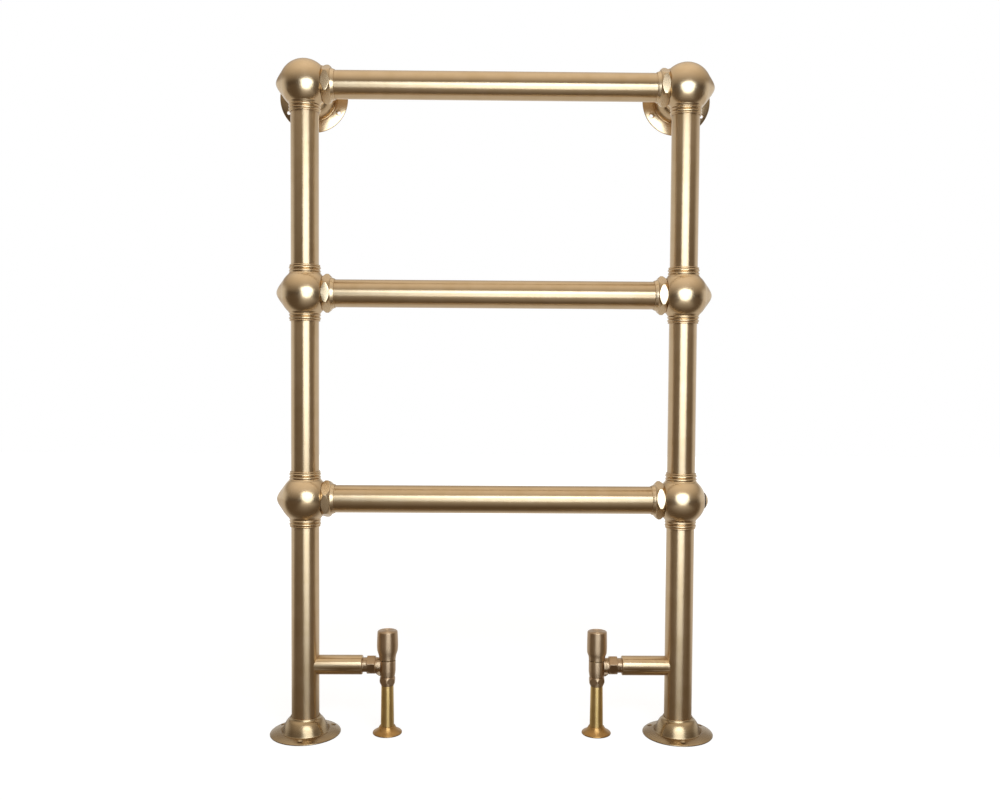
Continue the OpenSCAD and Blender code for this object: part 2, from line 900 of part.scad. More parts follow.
module pipe_sleeve()
{
    translate([half_spacing - valve_reach, 0, 0])
        difference()
        {
            cylinder(d1 = sleeve_foot_d, d2 = sleeve_top_d, h = sleeve_top);
            translate([0, 0, -1])
                cylinder(r = sleeve_bore_r, h = sleeve_top + 2);
        }
}

module floor_rose()
{
    r = rose_d / 2;
    neck_r = rose_bore_r + rose_t;
    translate([half_spacing - valve_reach, 0, 0])
        rotate_extrude()
            polygon([[r - 0.8, 0], [r, 0.5], [r, rose_edge_t], [r - 1.6, rose_edge_t + 1],
                [(r + neck_r) / 2 + 0.9, rose_h * 0.52], [neck_r + 1.4, rose_h * 0.8], [neck_r, rose_h],
                [rose_bore_r, rose_h], [rose_bore_r, rose_h - 2 * rose_t],
                [(r + neck_r) / 2, rose_h * 0.52 - rose_t], [r - 2.4, rose_edge_t - 0.6], [r - 2.4, 0]]);
}

module satin() { color(SATIN_BRASS) children(); }
module valve_brass() { color(VALVE_BRASS) children(); }
module yellow() { color(YELLOW_BRASS) children(); }
module raw() { color(RAW_BRASS) children(); }

module lower_upright_left() { satin() hand(LEFT) lower_upright(); }
module lower_upright_right() { satin() hand(RIGHT) lower_upright(); }
module middle_upright(side)
{
    satin() hand(side) upright_tube(bottom_bar_z + socket_floor, middle_bar_z - socket_floor);
}
module upper_upright(side)
{
    satin() hand(side) upright_tube(middle_bar_z + socket_floor, top_bar_z - socket_floor);
}
module foot_plugs()
{
    raw() for (side = [LEFT, RIGHT]) hand(side) foot_plug();
}
module placed_ball(side, z, up, down, back, nub)
{
    satin() hand(side) translate([half_spacing, 0, z]) ball_joint(up, down, back, nub);
}
module placed_nut(side, z, turn)
{
    satin() hand(side) translate([half_spacing, 0, z]) union_nut(turn);
}
module bar_tails()
{
    raw() for (side = [LEFT, RIGHT], z = BAR_HEIGHTS) hand(side) bar_tail(z);
}
module bar_seals()
{
    color(FIBRE) for (side = [LEFT, RIGHT], z = BAR_HEIGHTS) hand(side) bar_seal(z);
}
module blanking_plug()
{
    satin() hand(RIGHT) translate([half_spacing, 0, bottom_bar_z]) rotate([0, 90, 0]) blanking_plug_solid();
}
module blanking_plug_seal()
{
    color(RUBBER) hand(RIGHT) translate([half_spacing + plug_flat, 0, bottom_bar_z]) rotate([0, 90, 0])
        plain_tube(plug_head_d / 2 + pass_gap, plug_thread_d / 2 + thread_gap, plug_seal_t);
}
module wall_stays()
{
    satin() for (side = [LEFT, RIGHT]) hand(side) wall_stay();
}
module wheel_spindle()
{
    raw() hand(LEFT) at_valve() spindle(wheel_square_foot, wheel_square_l);
}
module lockshield_spindle()
{
    raw() hand(RIGHT) at_valve() spindle(lock_square_foot, lock_square_l);
}
module both_valves()
{
    for (side = [LEFT, RIGHT]) hand(side) at_valve() children();
}

lower_upright_left();
lower_upright_right();
middle_upright(LEFT);  // middle_upright_left
middle_upright(RIGHT);  // middle_upright_right
upper_upright(LEFT);  // upper_upright_left
upper_upright(RIGHT);  // upper_upright_right
foot_plugs();
placed_ball(LEFT, bottom_bar_z, true, true, false, true);  // bottom_ball_left
placed_ball(RIGHT, bottom_bar_z, true, true, false, false);  // bottom_ball_right
placed_ball(LEFT, middle_bar_z, true, true, false, true);  // middle_ball_left
placed_ball(RIGHT, middle_bar_z, true, true, false, true);  // middle_ball_right
placed_ball(LEFT, top_bar_z, false, true, true, true);  // top_ball_left
placed_ball(RIGHT, top_bar_z, false, true, true, true);  // top_ball_right
satin() bar(bottom_bar_z);  // bottom_bar
satin() bar(middle_bar_z);  // middle_bar
satin() bar(top_bar_z);  // top_bar
bar_tails();
bar_seals();
placed_nut(LEFT, bottom_bar_z, 12);  // bottom_nut_left
placed_nut(RIGHT, bottom_bar_z, 12);  // bottom_nut_right
placed_nut(LEFT, middle_bar_z, 0);  // middle_nut_left
placed_nut(RIGHT, middle_bar_z, 0);  // middle_nut_right
placed_nut(LEFT, top_bar_z, 0);  // top_nut_left
placed_nut(RIGHT, top_bar_z, 0);  // top_nut_right
blanking_plug();
blanking_plug_seal();
satin() hand(LEFT) floor_flange();  // floor_flange_left
satin() hand(RIGHT) floor_flange();  // floor_flange_right
wall_stays();
satin() hand(LEFT) wall_flange();  // wall_flange_left
satin() hand(RIGHT) wall_flange();  // wall_flange_right
satin() hand(LEFT) stub();  // stub_left
satin() hand(RIGHT) stub();  // stub_right
valve_brass() hand(LEFT) at_valve() valve_body();  // valve_body_left
valve_brass() hand(RIGHT) at_valve() valve_body();  // valve_body_right
valve_brass() hand(LEFT) at_valve() valve_tail();  // valve_tail_left
valve_brass() hand(RIGHT) at_valve() valve_tail();  // valve_tail_right
valve_brass() both_valves() valve_union_nut();  // valve_union_nuts
color(FIBRE) both_valves() valve_union_washer();  // valve_union_washers
valve_brass() both_valves() compression_nut();  // compression_nuts
raw() both_valves() olive();  // olives
raw() hand(LEFT) at_valve() headwork();  // headwork_left
raw() hand(RIGHT) at_valve() headwork();  // headwork_right
color(RUBBER) both_valves() spindle_o_ring();  // spindle_o_rings
valve_brass() hand(LEFT) at_valve()  // handwheel
    head_shell(wheel_r, wheel_swell_l, wheel_draw_in, wheel_edge);
color(PLASTIC) hand(LEFT) at_valve() wheel_insert();  // handwheel_insert
wheel_spindle();
raw() hand(LEFT) at_valve() disc_carrier();  // wheel_disc_carrier
color(RUBBER) hand(LEFT) at_valve() disc_washer();  // wheel_disc_washer
valve_brass() hand(RIGHT) at_valve()  // lockshield_cap
    head_shell(cap_r, cap_swell_l, cap_draw_in, cap_edge);
color(PLASTIC) hand(RIGHT) at_valve() grip_ring();  // lockshield_grip_ring
lockshield_spindle();
raw() hand(RIGHT) at_valve() disc_carrier();  // lockshield_disc_carrier
color(RUBBER) hand(RIGHT) at_valve() disc_washer();  // lockshield_disc_washer
yellow() hand(LEFT) pipe_sleeve();  // pipe_sleeve_left
yellow() hand(RIGHT) pipe_sleeve();  // pipe_sleeve_right
yellow() hand(LEFT) floor_rose();  // floor_rose_left
yellow() hand(RIGHT) floor_rose();  // floor_rose_right
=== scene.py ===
"""Looks of a floor-standing towel rail: turned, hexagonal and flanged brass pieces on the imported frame.

Lengths are in millimetres until a mesh is made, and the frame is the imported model's: +Z up, +X to the
viewer's right, +Y towards the wall.
"""
import logging
import math
from dataclasses import dataclass
from enum import Enum
from typing import Callable, Sequence

import bmesh
import bpy
from mathutils import Matrix, Vector

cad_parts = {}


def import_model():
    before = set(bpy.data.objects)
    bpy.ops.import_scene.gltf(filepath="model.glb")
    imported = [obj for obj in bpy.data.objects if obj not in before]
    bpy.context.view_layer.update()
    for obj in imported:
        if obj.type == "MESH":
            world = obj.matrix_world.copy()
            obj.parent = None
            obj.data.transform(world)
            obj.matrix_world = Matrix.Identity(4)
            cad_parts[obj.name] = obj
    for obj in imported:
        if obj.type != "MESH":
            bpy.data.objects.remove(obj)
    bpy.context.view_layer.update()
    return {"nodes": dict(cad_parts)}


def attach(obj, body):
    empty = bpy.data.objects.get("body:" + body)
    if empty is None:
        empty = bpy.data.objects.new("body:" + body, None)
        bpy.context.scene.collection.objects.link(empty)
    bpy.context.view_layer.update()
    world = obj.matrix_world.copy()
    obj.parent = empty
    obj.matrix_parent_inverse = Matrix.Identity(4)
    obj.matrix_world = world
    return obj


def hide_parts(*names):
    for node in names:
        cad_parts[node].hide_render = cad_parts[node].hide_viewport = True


log = logging.getLogger("towel_rail")

Profile = list[tuple[float, float]]
Corners = Sequence[tuple[float, float]]
AtAngle = Callable[[float], Profile]
Place = tuple[float, float, float]
Tone = tuple[float, float, float, float]
Tree = bpy.types.NodeTree
Socket = bpy.types.NodeSocket
Material = bpy.types.Material
Mesh = bpy.types.Mesh
Outputs = bpy.types.bpy_prop_collection

MM = 0.001
MM_PER_M = 1000
# A radius or length below this counts as none
NONE = 1e-6
# In metres: corners nearer than the first are one corner, and edges shorter than the second go
MERGED, TOO_SHORT = 2e-7, 1e-7
# The cosine past which an axis counts as upright
STEEP = 0.9
# How much of an edge the curve at one of its corners may take up
EDGE_SHARE = 0.45
# Steps round a turned piece, and round the balls, whose outline shows most
ROUND, BALL_ROUND = 96, 128

UP = Vector((0.0, 0.0, 1.0))
DOWN = Vector((0.0, 0.0, -1.0))
EAST = Vector((1.0, 0.0, 0.0))
NORTH = Vector((0.0, 1.0, 0.0))


# ---- shared places


class Side(Enum):
    """The two sides of the rail, as seen from the front."""

    LEFT = -1
    RIGHT = 1

    @property
    def word(self) -> str:
        """The side's word in the names of nodes."""
        return self.name.lower()

    @property
    def out(self) -> Vector:
        """The way outwards on this side."""
        return Vector((self.value, 0.0, 0.0))


@dataclass(frozen=True)
class Layout:
    """The places that several sub-assemblies share."""

    half_spacing: float = 260.0
    rail_y: float = -11.7
    wall_y: float = 60.3
    bottom_bar_z: float = 328.0
    bar_pitch: float = 283.0
    tube_r: float = 19.05
    tube_bore_r: float = 17.55
    stub_z: float = 96.0
    valve_x: float = 146.0

    @property
    def bars(self) -> tuple[tuple[str, float], ...]:
        """Each bar's word and height, from the bottom up."""
        words = ("bottom", "middle", "top")
        return tuple((word, self.bottom_bar_z + i * self.bar_pitch) for i, word in enumerate(words))

    @property
    def top_z(self) -> float:
        """The top bar's height."""
        return self.bars[-1][1]

    def upright(self, side: Side, z: float = 0.0) -> Vector:
        """A point on a side's upright, at a height."""
        return Vector((side.value * self.half_spacing, self.rail_y, z))

    def valve(self, side: Side, z: float = 0.0) -> Vector:
        """A point on a side's valve axis, at a height."""
        return Vector((side.value * self.valve_x, self.rail_y, z))


def place(centre: Vector, axis: Vector, start: Vector | None = None) -> Matrix:
    """Gives the matrix that stands a turned shape's Z on an axis, and its X on start or any square way."""
    z = axis.normalized()
    x = (start or (UP if abs(z.z) < STEEP else EAST)).normalized()
    turn = Matrix((x, z.cross(x), z)).transposed().to_4x4()
    return Matrix.Translation(centre) @ turn


# ---- profiles and shells


def arc(radius: float, start_deg: float, end_deg: float, steps: int, centre_h: float = 0.0) -> Profile:
    """Samples an arc about a point on the axis, between two angles from the axis, both ends included."""
    points = []
    for i in range(steps + 1):
        a = math.radians(start_deg + (end_deg - start_deg) * i / steps)
        points.append((radius * math.sin(a), centre_h + radius * math.cos(a)))
    return points


def softened(points: Corners, size: float, steps: int = 3, closed: bool = True) -> Profile:
    """Rounds each corner of a profile with a curve that starts at most size from it.

    An open profile keeps its two ends. Any corners give the same number of points.
    """
    made: Profile = []
    count = len(points)
    for i, (r, h) in enumerate(points):
        if not closed and i in (0, count - 1):
            made.append((r, h))
            continue
        ends = []
        for other in (points[i - 1], points[(i + 1) % count]):
            dr, dh = other[0] - r, other[1] - h
            length = math.hypot(dr, dh)
            reach = min(size, length * EDGE_SHARE) / length if length > NONE else 0.0
            ends.append((r + dr * reach, h + dh * reach))
        (ar, ah), (br, bh) = ends
        for k in range(steps + 1):
            t = k / steps
            u = 1 - t
            made.append((u * u * ar + 2 * u * t * r + t * t * br, u * u * ah + 2 * u * t * h + t * t * bh))
    return made


def flowed(points: Corners, times: int = 2) -> Profile:
    """Cuts a profile's corners a few times over until it flows, and keeps its two ends."""
    near, far = 0.75, 0.25
    made = list(points)
    for _ in range(times):
        cut = [made[0]]
        for (ar, ah), (br, bh) in zip(made, made[1:]):
            cut.append((near * ar + far * br, near * ah + far * bh))
            cut.append((far * ar + near * br, far * ah + near * bh))
        made = cut + [points[-1]]
    return made


def ring(inner: float, outer: float, start: float, end: float, edge: float) -> Profile:
    """Gives a plain ring's closed outline between two radii and two heights, its four edges rounded."""
    return softened([(inner, start), (outer, start), (outer, end), (inner, end)], edge)


@dataclass(frozen=True)
class Hexagon:
    """A hexagon's outline in polar form, with its six corners slightly rounded."""

    across_flats: float
    corner_round: float = 0.8

    @property
    def corner_r(self) -> float:
        """Radius at the sharp corners."""
        return self.across_flats / 2 / math.cos(math.pi / 6)

    @property
    def round_at(self) -> float:
        """Radius at which the centres of the rounded corners lie."""
        return (self.across_flats / 2 - self.corner_round) / math.cos(math.pi / 6)

    def angles(self) -> list[float]:
        """The angles to sample: eight on each flat and nine on each corner."""
        across = self.round_at + self.corner_round * math.cos(math.pi / 6)
        ends = math.atan2(self.corner_round / 2, across)
        made = []
        for k in range(6):
            made += [k * math.pi / 3 + ends * step / 4 for step in range(-4, 5)]
            made += [k * math.pi / 3 + ends + (math.pi / 3 - 2 * ends) * step / 9 for step in range(1, 9)]
        return made

    def radius(self, angle: float) -> float:
        """Radius at an angle, with corners at 0, 60, 120 degrees and so on."""
        a = abs((angle + math.pi / 6) % (math.pi / 3) - math.pi / 6)
        flat = self.across_flats / 2 / math.cos(math.pi / 6 - a)
        inside = self.corner_round**2 - (self.round_at * math.sin(a)) ** 2
        return min(flat, self.round_at * math.cos(a) + math.sqrt(inside)) if inside > 0 else flat


@dataclass(frozen=True)
class Nut:
    """A hexagonal nut whose chamfers bend over its corners."""

    hexagon: Hexagon
    bore_r: float
    length: float
    foot_chamfer: float
    top_chamfer: float
    slope: float = 0.6
    edge: float = 0.3
    collar: Corners = ()

    def outline(self, angle: float) -> Profile:
        """The nut's closed outline at one angle."""
        r = self.hexagon.radius(angle)
        foot_r = self.hexagon.corner_r - self.foot_chamfer
        top_r = self.hexagon.corner_r - self.top_chamfer
        foot_h = max(0.0, r - foot_r) * self.slope
        top_h = self.length - max(0.0, r - top_r) * self.slope
        foot = [(self.bore_r, 0.0), (min(r, foot_r), 0.0), (r, foot_h)]
        top = [(r, top_h), (min(r, top_r), self.length)]
        return softened([*foot, *top, *(self.collar or [(self.bore_r, self.length)])], self.edge)


class Shell:
    """Gathers closed turned and sawn shapes, in mm, and makes one mesh of them."""

    def __init__(self) -> None:
        """Starts with nothing in it."""
        self.points: list[Vector] = []
        self.faces: list[list[int]] = []

    def turned(self, profile: Profile | AtAngle, where: Matrix, angles: int | list[float] = ROUND) -> "Shell":
        """Turns a (radius, height) profile, or one for each angle, about an axis, and gives this shell.

        A profile that starts and ends on the axis makes a solid, and any other is closed into a ring.
        """
        turns = [2 * math.pi * i / angles for i in range(angles)] if isinstance(angles, int) else angles
        columns = [(profile(a) if callable(profile) else profile, math.cos(a), math.sin(a)) for a in turns]
        first = columns[0][0]
        solid = first[0][0] < NONE and first[-1][0] < NONE
        rows_used = range(len(first))
        if solid:
            foot_pole, top_pole = len(self.points), len(self.points) + 1
            self.points += [where @ Vector((0, 0, h)) for h in (first[0][1], first[-1][1])]
            rows_used = rows_used[1:-1]
        base = len(self.points)
        for rows, c, s in columns:
            self.points += [where @ Vector((rows[i][0] * c, rows[i][0] * s, rows[i][1])) for i in rows_used]
        tall = len(rows_used)
        for k in range(len(columns)):
            a, b = base + k * tall, base + (k + 1) % len(columns) * tall
            for i in range(tall - 1):
                self.faces.append([a + i, b + i, b + i + 1, a + i + 1])
            if solid:
                self.faces.append([foot_pole, b, a])
                self.faces.append([top_pole, a + tall - 1, b + tall - 1])
            else:
                self.faces.append([a + tall - 1, b + tall - 1, b, a])
        return self

    def nut(self, nut: Nut, where: Matrix) -> "Shell":
        """Turns a nut, with enough steps at its corners."""
        return self.turned(nut.outline, where, nut.hexagon.angles())

    def sawn(self, outline: Profile, thickness: float, where: Matrix, edge: float, steps: int = 8) -> "Shell":
        """Saws a plate from an (x, y) outline, with its two rims rounded over, and gives this shell.

        Half the thickness is on each side of the outline, and the steps are an even number.
        """
        mid_x, mid_y = (sum(p[k] for p in outline) / len(outline) for k in (0, 1))
        reach = max(math.hypot(x - mid_x, y - mid_y) for x, y in outline)
        base, wide = len(self.points), len(outline)
        for k in range(steps + 1):
            a = math.radians(-90 + 180 * k / steps)
            inset = 1 - edge * (1 - math.cos(a)) / reach
            z = math.copysign(thickness / 2 - edge, a) + edge * math.sin(a) if k != steps // 2 else 0.0
            for x, y in outline:
                inner = Vector((mid_x + (x - mid_x) * inset, mid_y + (y - mid_y) * inset, z))
                self.points.append(where @ inner)
        for start in range(base, base + steps * wide, wide):
            for i in range(wide):
                j = (i + 1) % wide
                self.faces.append([start + i, start + j, start + wide + j, start + wide + i])
        self.faces.append(list(range(base + wide - 1, base - 1, -1)))
        self.faces.append(list(range(base + steps * wide, base + (steps + 1) * wide)))
        return self

    def mesh(self, name: str) -> Mesh:
        """Makes the mesh in metres, with its faces outwards and its hard edges kept."""
        mesh = bpy.data.meshes.new(name)
        mesh.from_pydata([p * MM for p in self.points], [], self.faces)
        return tidied(mesh)


def tidied(mesh: Mesh, sharp_deg: float = 32.0) -> Mesh:
    """Merges doubles, turns faces outwards, and smooths the edges that bend by less than sharp_deg."""
    work = bmesh.new()
    work.from_mesh(mesh)
    bmesh.ops.remove_doubles(work, verts=work.verts, dist=MERGED)
    bmesh.ops.dissolve_degenerate(work, edges=work.edges, dist=TOO_SHORT)
    bmesh.ops.recalc_face_normals(work, faces=work.faces)
    for face in work.faces:
        face.smooth = True
    for edge in work.edges:
        edge.smooth = len(edge.link_faces) == 2 and edge.calc_face_angle(0.0) < math.radians(sharp_deg)
    work.to_mesh(mesh)
    work.free()
    mesh.update()
    return mesh


# ---- nodes and finishes


def linear(colour: str) -> Tone:
    """Turns an sRGB hex colour into linear RGBA."""
    parts = [int(colour[i : i + 2], 16) / 255 for i in (1, 3, 5)]
    return (*(p / 12.92 if p <= 0.04045 else ((p + 0.055) / 1.055) ** 2.4 for p in parts), 1.0)


def add_node(tree: Tree, kind: str, links: dict | None = None, **settings: str) -> bpy.types.Node:
    """Adds a node with its settings; links gives its inputs, by name or number, sockets or constants."""
    node = tree.nodes.new(kind)
    for key, value in settings.items():
        setattr(node, key, value)
    for key, value in (links or {}).items():
        if isinstance(value, Socket):
            tree.links.new(value, node.inputs[key])
        else:
            node.inputs[key].default_value = value
    return node


def out_of(tree: Tree, kind: str, links: dict | None = None, **settings: str) -> Socket:
    """Adds a node and gives its first output."""
    return add_node(tree, kind, links, **settings).outputs[0]


def figured(tree: Tree, operation: str, *values: Socket | float) -> Socket:
    """Works out one number from others."""
    return out_of(tree, "ShaderNodeMath", dict(enumerate(values)), operation=operation)


def ranged(tree: Tree, value: Socket, *span: float, ease: str = "LINEAR") -> Socket:
    """Maps a value's span, from its start to its end, to 0 to 1 or to the span's third and fourth number."""
    return out_of(tree, "ShaderNodeMapRange", dict(enumerate((value, *span))), interpolation_type=ease)


def eased(tree: Tree, value: Socket, *span: float) -> Socket:
    """Maps a value's span as ranged does, gently at both ends."""
    return ranged(tree, value, *span, ease="SMOOTHSTEP")


def blended(tree: Tree, factor: Socket, first: Socket | Tone, second: Socket | Tone) -> Socket:
    """Goes from one colour to another with a factor."""
    links = {"Factor": factor, 6: first, 7: second}
    return add_node(tree, "ShaderNodeMix", links, data_type="RGBA").outputs[2]


def vector(tree: Tree, **parts: Socket) -> Socket:
    """Puts numbers together into a vector."""
    return out_of(tree, "ShaderNodeCombineXYZ", parts)


def point(tree: Tree, space: str = "Object") -> tuple[Socket, Outputs]:
    """Finds the point that is shaded, and its three coordinates by name."""
    where = add_node(tree, "ShaderNodeTexCoord").outputs[space]
    return where, add_node(tree, "ShaderNodeSeparateXYZ", {0: where}).outputs


def mottled(tree: Tree, size_mm: float, detail: float, roughness: float = 0.5) -> Socket:
    """Makes soft patches of a real size."""
    links = {"Vector": point(tree)[0], "Scale": MM_PER_M / size_mm, "Detail": detail, "Roughness": roughness}
    return out_of(tree, "ShaderNodeTexNoise", links)


def relief(tree: Tree, height: Socket, depth_mm: float) -> Socket:
    """Turns a pattern into a relief of a real depth."""
    return out_of(tree, "ShaderNodeBump", {"Strength": 1.0, "Distance": depth_mm * MM, "Height": height})


def seen_apart(tree: Tree, by_metal: Socket, by_camera: Socket, output: str) -> None:
    """Ends a tree that shows one thing to the metal and another to the camera."""
    seen = add_node(tree, "ShaderNodeLightPath").outputs["Is Camera Ray"]
    both = out_of(tree, "ShaderNodeMixShader", {0: seen, 1: by_metal, 2: by_camera})
    add_node(tree, output, {"Surface": both})


def emptied(owner: Material | bpy.types.World) -> Tree:
    """Gives a material's or the world's tree with nothing in it."""
    owner.use_nodes = True
    owner.node_tree.nodes.clear()
    return owner.node_tree


def surfaced(tree: Tree, inputs: dict) -> None:
    """Ends a material in one surface with the given inputs."""
    add_node(tree, "ShaderNodeOutputMaterial", {"Surface": out_of(tree, "ShaderNodeBsdfPrincipled", inputs)})


class Grain(Enum):
    """The axis that a piece was turned or polished about, which its fine lines run round."""

    UPRIGHT = "Z"
    LEVEL = "X"
    TO_WALL = "Y"
    VALVE = "Z, through the valve"

    @property
    def axis(self) -> Place:
        """The axis as a unit vector."""
        return tuple(float(letter == self.value[0]) for letter in "XYZ")


def turned_about(tree: Tree, grain: Grain, layout: Layout) -> tuple[Socket, Socket]:
    """Gives a point's distance along its grain's axis plus that from it, in metres, and the way round."""
    where, xyz = point(tree)
    axis_x = layout.valve_x if grain is Grain.VALVE else layout.half_spacing
    inwards = figured(tree, "SUBTRACT", figured(tree, "ABSOLUTE", xyz["X"]), axis_x * MM)
    x = figured(tree, "MULTIPLY", inwards, figured(tree, "SIGN", xyz["X"]))
    y = figured(tree, "SUBTRACT", xyz["Y"], layout.rail_y * MM)
    half = layout.bar_pitch * MM / 2
    z = figured(tree, "WRAP", figured(tree, "SUBTRACT", xyz["Z"], layout.bottom_bar_z * MM), half, -half)
    offset = vector(tree, X=x, Y=y, Z=z)
    around = out_of(tree, "ShaderNodeVectorMath", {0: grain.axis, 1: offset}, operation="CROSS_PRODUCT")
    out = add_node(tree, "ShaderNodeVectorMath", {0: around}, operation="LENGTH")
    along = add_node(tree, "ShaderNodeVectorMath", {0: grain.axis, 1: where}, operation="DOT_PRODUCT")
    return figured(tree, "ADD", along.outputs["Value"], out.outputs["Value"]), around


@dataclass(frozen=True)
class Finish:
    """What every finish has: name, slot, two tones, and a roughness that wanders by its spread."""

    name: str
    slot: str
    colour: str
    shade: str
    roughness: float
    spread: float

    def named(self, grain: Grain) -> str:
        """The material's name on pieces of one grain."""
        return self.name

    def fill(self, tree: Tree, grain: Grain, layout: Layout) -> None:
        """Builds the material's nodes."""
        raise NotImplementedError

    def toned(self, tree: Tree, factor: Socket) -> Socket:
        """The colour between the two tones."""
        return blended(tree, factor, linear(self.shade), linear(self.colour))

    def dulled(self, tree: Tree, factor: Socket, low: float, high: float) -> Socket:
        """The roughness, from its least at the factor's low end to its most at the high end."""
        return ranged(tree, factor, low, high, self.roughness - self.spread, self.roughness + self.spread)

    def material(self, grain: Grain, layout: Layout) -> Material:
        """Gives this finish for the pieces of one grain, made once."""
        name = self.named(grain)
        if name not in bpy.data.materials:
            self.fill(emptied(bpy.data.materials.new(name)), grain, layout)
        return bpy.data.materials[name]


@dataclass(frozen=True)
class TurnedMetal(Finish):
    """A metal that was turned or drawn, then rubbed with fine grit about its axis.

    The stretch is how far a highlight runs across the lines.
    """

    line_mm: float
    line_depth_mm: float
    stretch: float = 0.0
    mottle_mm: float = 22.0

    def named(self, grain: Grain) -> str:
        """The material's name, with the grain that its lines follow."""
        return f"{self.name}_{grain.name.lower()}"

    def fill(self, tree: Tree, grain: Grain, layout: Layout) -> None:
        """Builds the metal's nodes: fine lines round the axis over soft patches."""
        lines, around = turned_about(tree, grain, layout)
        links = {"W": lines, "Scale": MM_PER_M / self.line_mm, "Detail": 3.0, "Roughness": 0.6}
        fine = out_of(tree, "ShaderNodeTexNoise", links, noise_dimensions="1D")
        soft = mottled(tree, self.mottle_mm, detail=4.0, roughness=0.55)
        # Both noises keep near 0.5, so only their middle range counts
        streak = figured(tree, "ADD", fine, soft)
        surfaced(tree, {
            "Metallic": 1.0, "Base Color": self.toned(tree, eased(tree, soft, 0.3, 0.7)),
            "Roughness": self.dulled(tree, streak, 0.6, 1.4),
            "Normal": relief(tree, fine, self.line_depth_mm),
            "Anisotropic": self.stretch, "Anisotropic Rotation": 0.25, "Tangent": around,
        })


@dataclass(frozen=True)
class Moulding(Finish):
    """A moulded or pressed part that isn't metal."""

    ior: float
    pore_mm: float
    pore_depth_mm: float

    def fill(self, tree: Tree, grain: Grain, layout: Layout) -> None:
        """Builds the moulding's nodes: fine pores that run no way in particular."""
        pores = mottled(tree, self.pore_mm, detail=5.0)
        surfaced(tree, {
            "Base Color": self.toned(tree, pores), "Roughness": self.dulled(tree, pores, 0.0, 1.0),
            "IOR": self.ior, "Normal": relief(tree, pores, self.pore_depth_mm),
        })


# Satin brass of the balls and wall flanges under clear lacquer: a pale, slightly pink gold with soft round
# highlights. Its polishing lines are finer than the eye parts at this distance, so they are faint.
SATIN_BRASS = TurnedMetal(
    "satin_lacquered_brass", "satin_brass", "#D4BA95", "#CDB28B", 0.25, 0.025, 1.2, 0.0012
)
# The same brass on the rail's nuts, whose milled flats are smooth enough to mirror the light whole.
MILLED_BRASS = TurnedMetal(
    "milled_lacquered_brass", "satin_brass", "#D8BF9B", "#D1B791", 0.27, 0.02, 1.2, 0.0002
)
# The floor flanges' brass: made a shade browner and duller than the rail above as painted shade, for the
# dimmer light that they reflect down by the floor.
SHADED_FOOT_BRASS = TurnedMetal(
    "darkened_lacquered_brass", "satin_brass", "#AD9674", "#A28A68", 0.26, 0.03, 1.2, 0.0012
)
# The rail's brass on its tubes, linished round them: a highlight is crisp across a tube and long along it.
LINISHED_BRASS = TurnedMetal(
    "linished_lacquered_brass", "satin_brass", "#D4BA95", "#CDB28B", 0.33, 0.02, 1.2, 0.002, 0.95
)
# Bronze-plated valve brass: browner and pinker than the rail, with a duller, wider sheen.
VALVE_BRONZE = TurnedMetal(
    "satin_bronze_plated_brass", "valve_brass", "#C8AD8B", "#BFA382", 0.42, 0.03, 1.0, 0.0015, 0.93
)
# Polished yellow brass of the pipe covers: deeper yellow, with a narrow bright line.
YELLOW_BRASS = TurnedMetal(
    "polished_yellow_brass", "yellow_brass", "#E2C281", "#DAB876", 0.41, 0.02, 1.4, 0.001, 0.97
)
# The same on the floor roses, made browner and duller than the sleeves as painted shade, for the dimmer light
# that they reflect down at the floor.
SHADED_ROSE_BRASS = TurnedMetal(
    "dulled_yellow_brass", "yellow_brass", "#C49A60", "#B68C54", 0.36, 0.03, 1.4, 0.001, 0.95
)
# Turned brass of the works inside, as it comes off the lathe: bright, with plain tool lines.
RAW_BRASS = TurnedMetal(
    "as_turned_brass", "raw_brass", "#D8BC7A", "#CDAE6B", 0.28, 0.05, 0.6, 0.02
)
# EPDM rubber of the seals and O-rings: black, matt, faintly grainy.
RUBBER = Moulding(
    "epdm_rubber", "rubber", "#262626", "#1B1B1B", 0.62, 0.08, 1.5, 1.2, 0.02
)
# Vulcanised fibre of the union washers: red-brown and paper-like.
FIBRE = Moulding(
    "vulcanised_fibre", "fibre", "#7A4333", "#5F3225", 0.7, 0.08, 1.5, 0.9, 0.03
)
# Acetal of the handwheel's insert and the cap's grip ring: milky off-white, slightly shiny.
ACETAL = Moulding(
    "moulded_acetal", "acetal", "#DCD8CC", "#D2CDBF", 0.42, 0.08, 1.48, 2.0, 0.01
)


# ---- pieces


def in_scene(name: str, data: bpy.types.ID) -> bpy.types.Object:
    """Makes an object of some data and puts it into the scene."""
    made = bpy.data.objects.new(name, data)
    bpy.context.scene.collection.objects.link(made)
    return made


def worked(mesh: Mesh, tree: Tree, values: dict[str, float]) -> Mesh:
    """Runs a Geometry Nodes tree on a mesh, with values for its named inputs, and gives a plain mesh."""
    holder = in_scene("holder", mesh)
    modifier = holder.modifiers.new("nodes", "NODES")
    modifier.node_group = tree
    for item in tree.interface.items_tree:
        if item.in_out == "INPUT" and item.name in values:
            modifier[item.identifier] = values[item.name]
    depsgraph = bpy.context.evaluated_depsgraph_get()
    made = bpy.data.meshes.new_from_object(holder.evaluated_get(depsgraph))
    holder.modifiers.remove(modifier)
    bpy.data.objects.remove(holder)
    made.name = mesh.name
    return made


def new_tree(name: str, count: str, measures: Sequence[str]) -> tuple[Tree, Outputs]:
    """Starts a Geometry Nodes tree for a geometry, a count and measures, and gives it and its inputs."""
    tree = bpy.data.node_groups.new(name, "GeometryNodeTree")
    kinds = {"Geometry": "Geometry", count: "Int"} | dict.fromkeys(measures, "Float")
    for key, kind in kinds.items():
        tree.interface.new_socket(key, in_out="INPUT", socket_type=f"NodeSocket{kind}")
    tree.interface.new_socket("Geometry", in_out="OUTPUT", socket_type="NodeSocketGeometry")
    return tree, add_node(tree, "NodeGroupInput").outputs


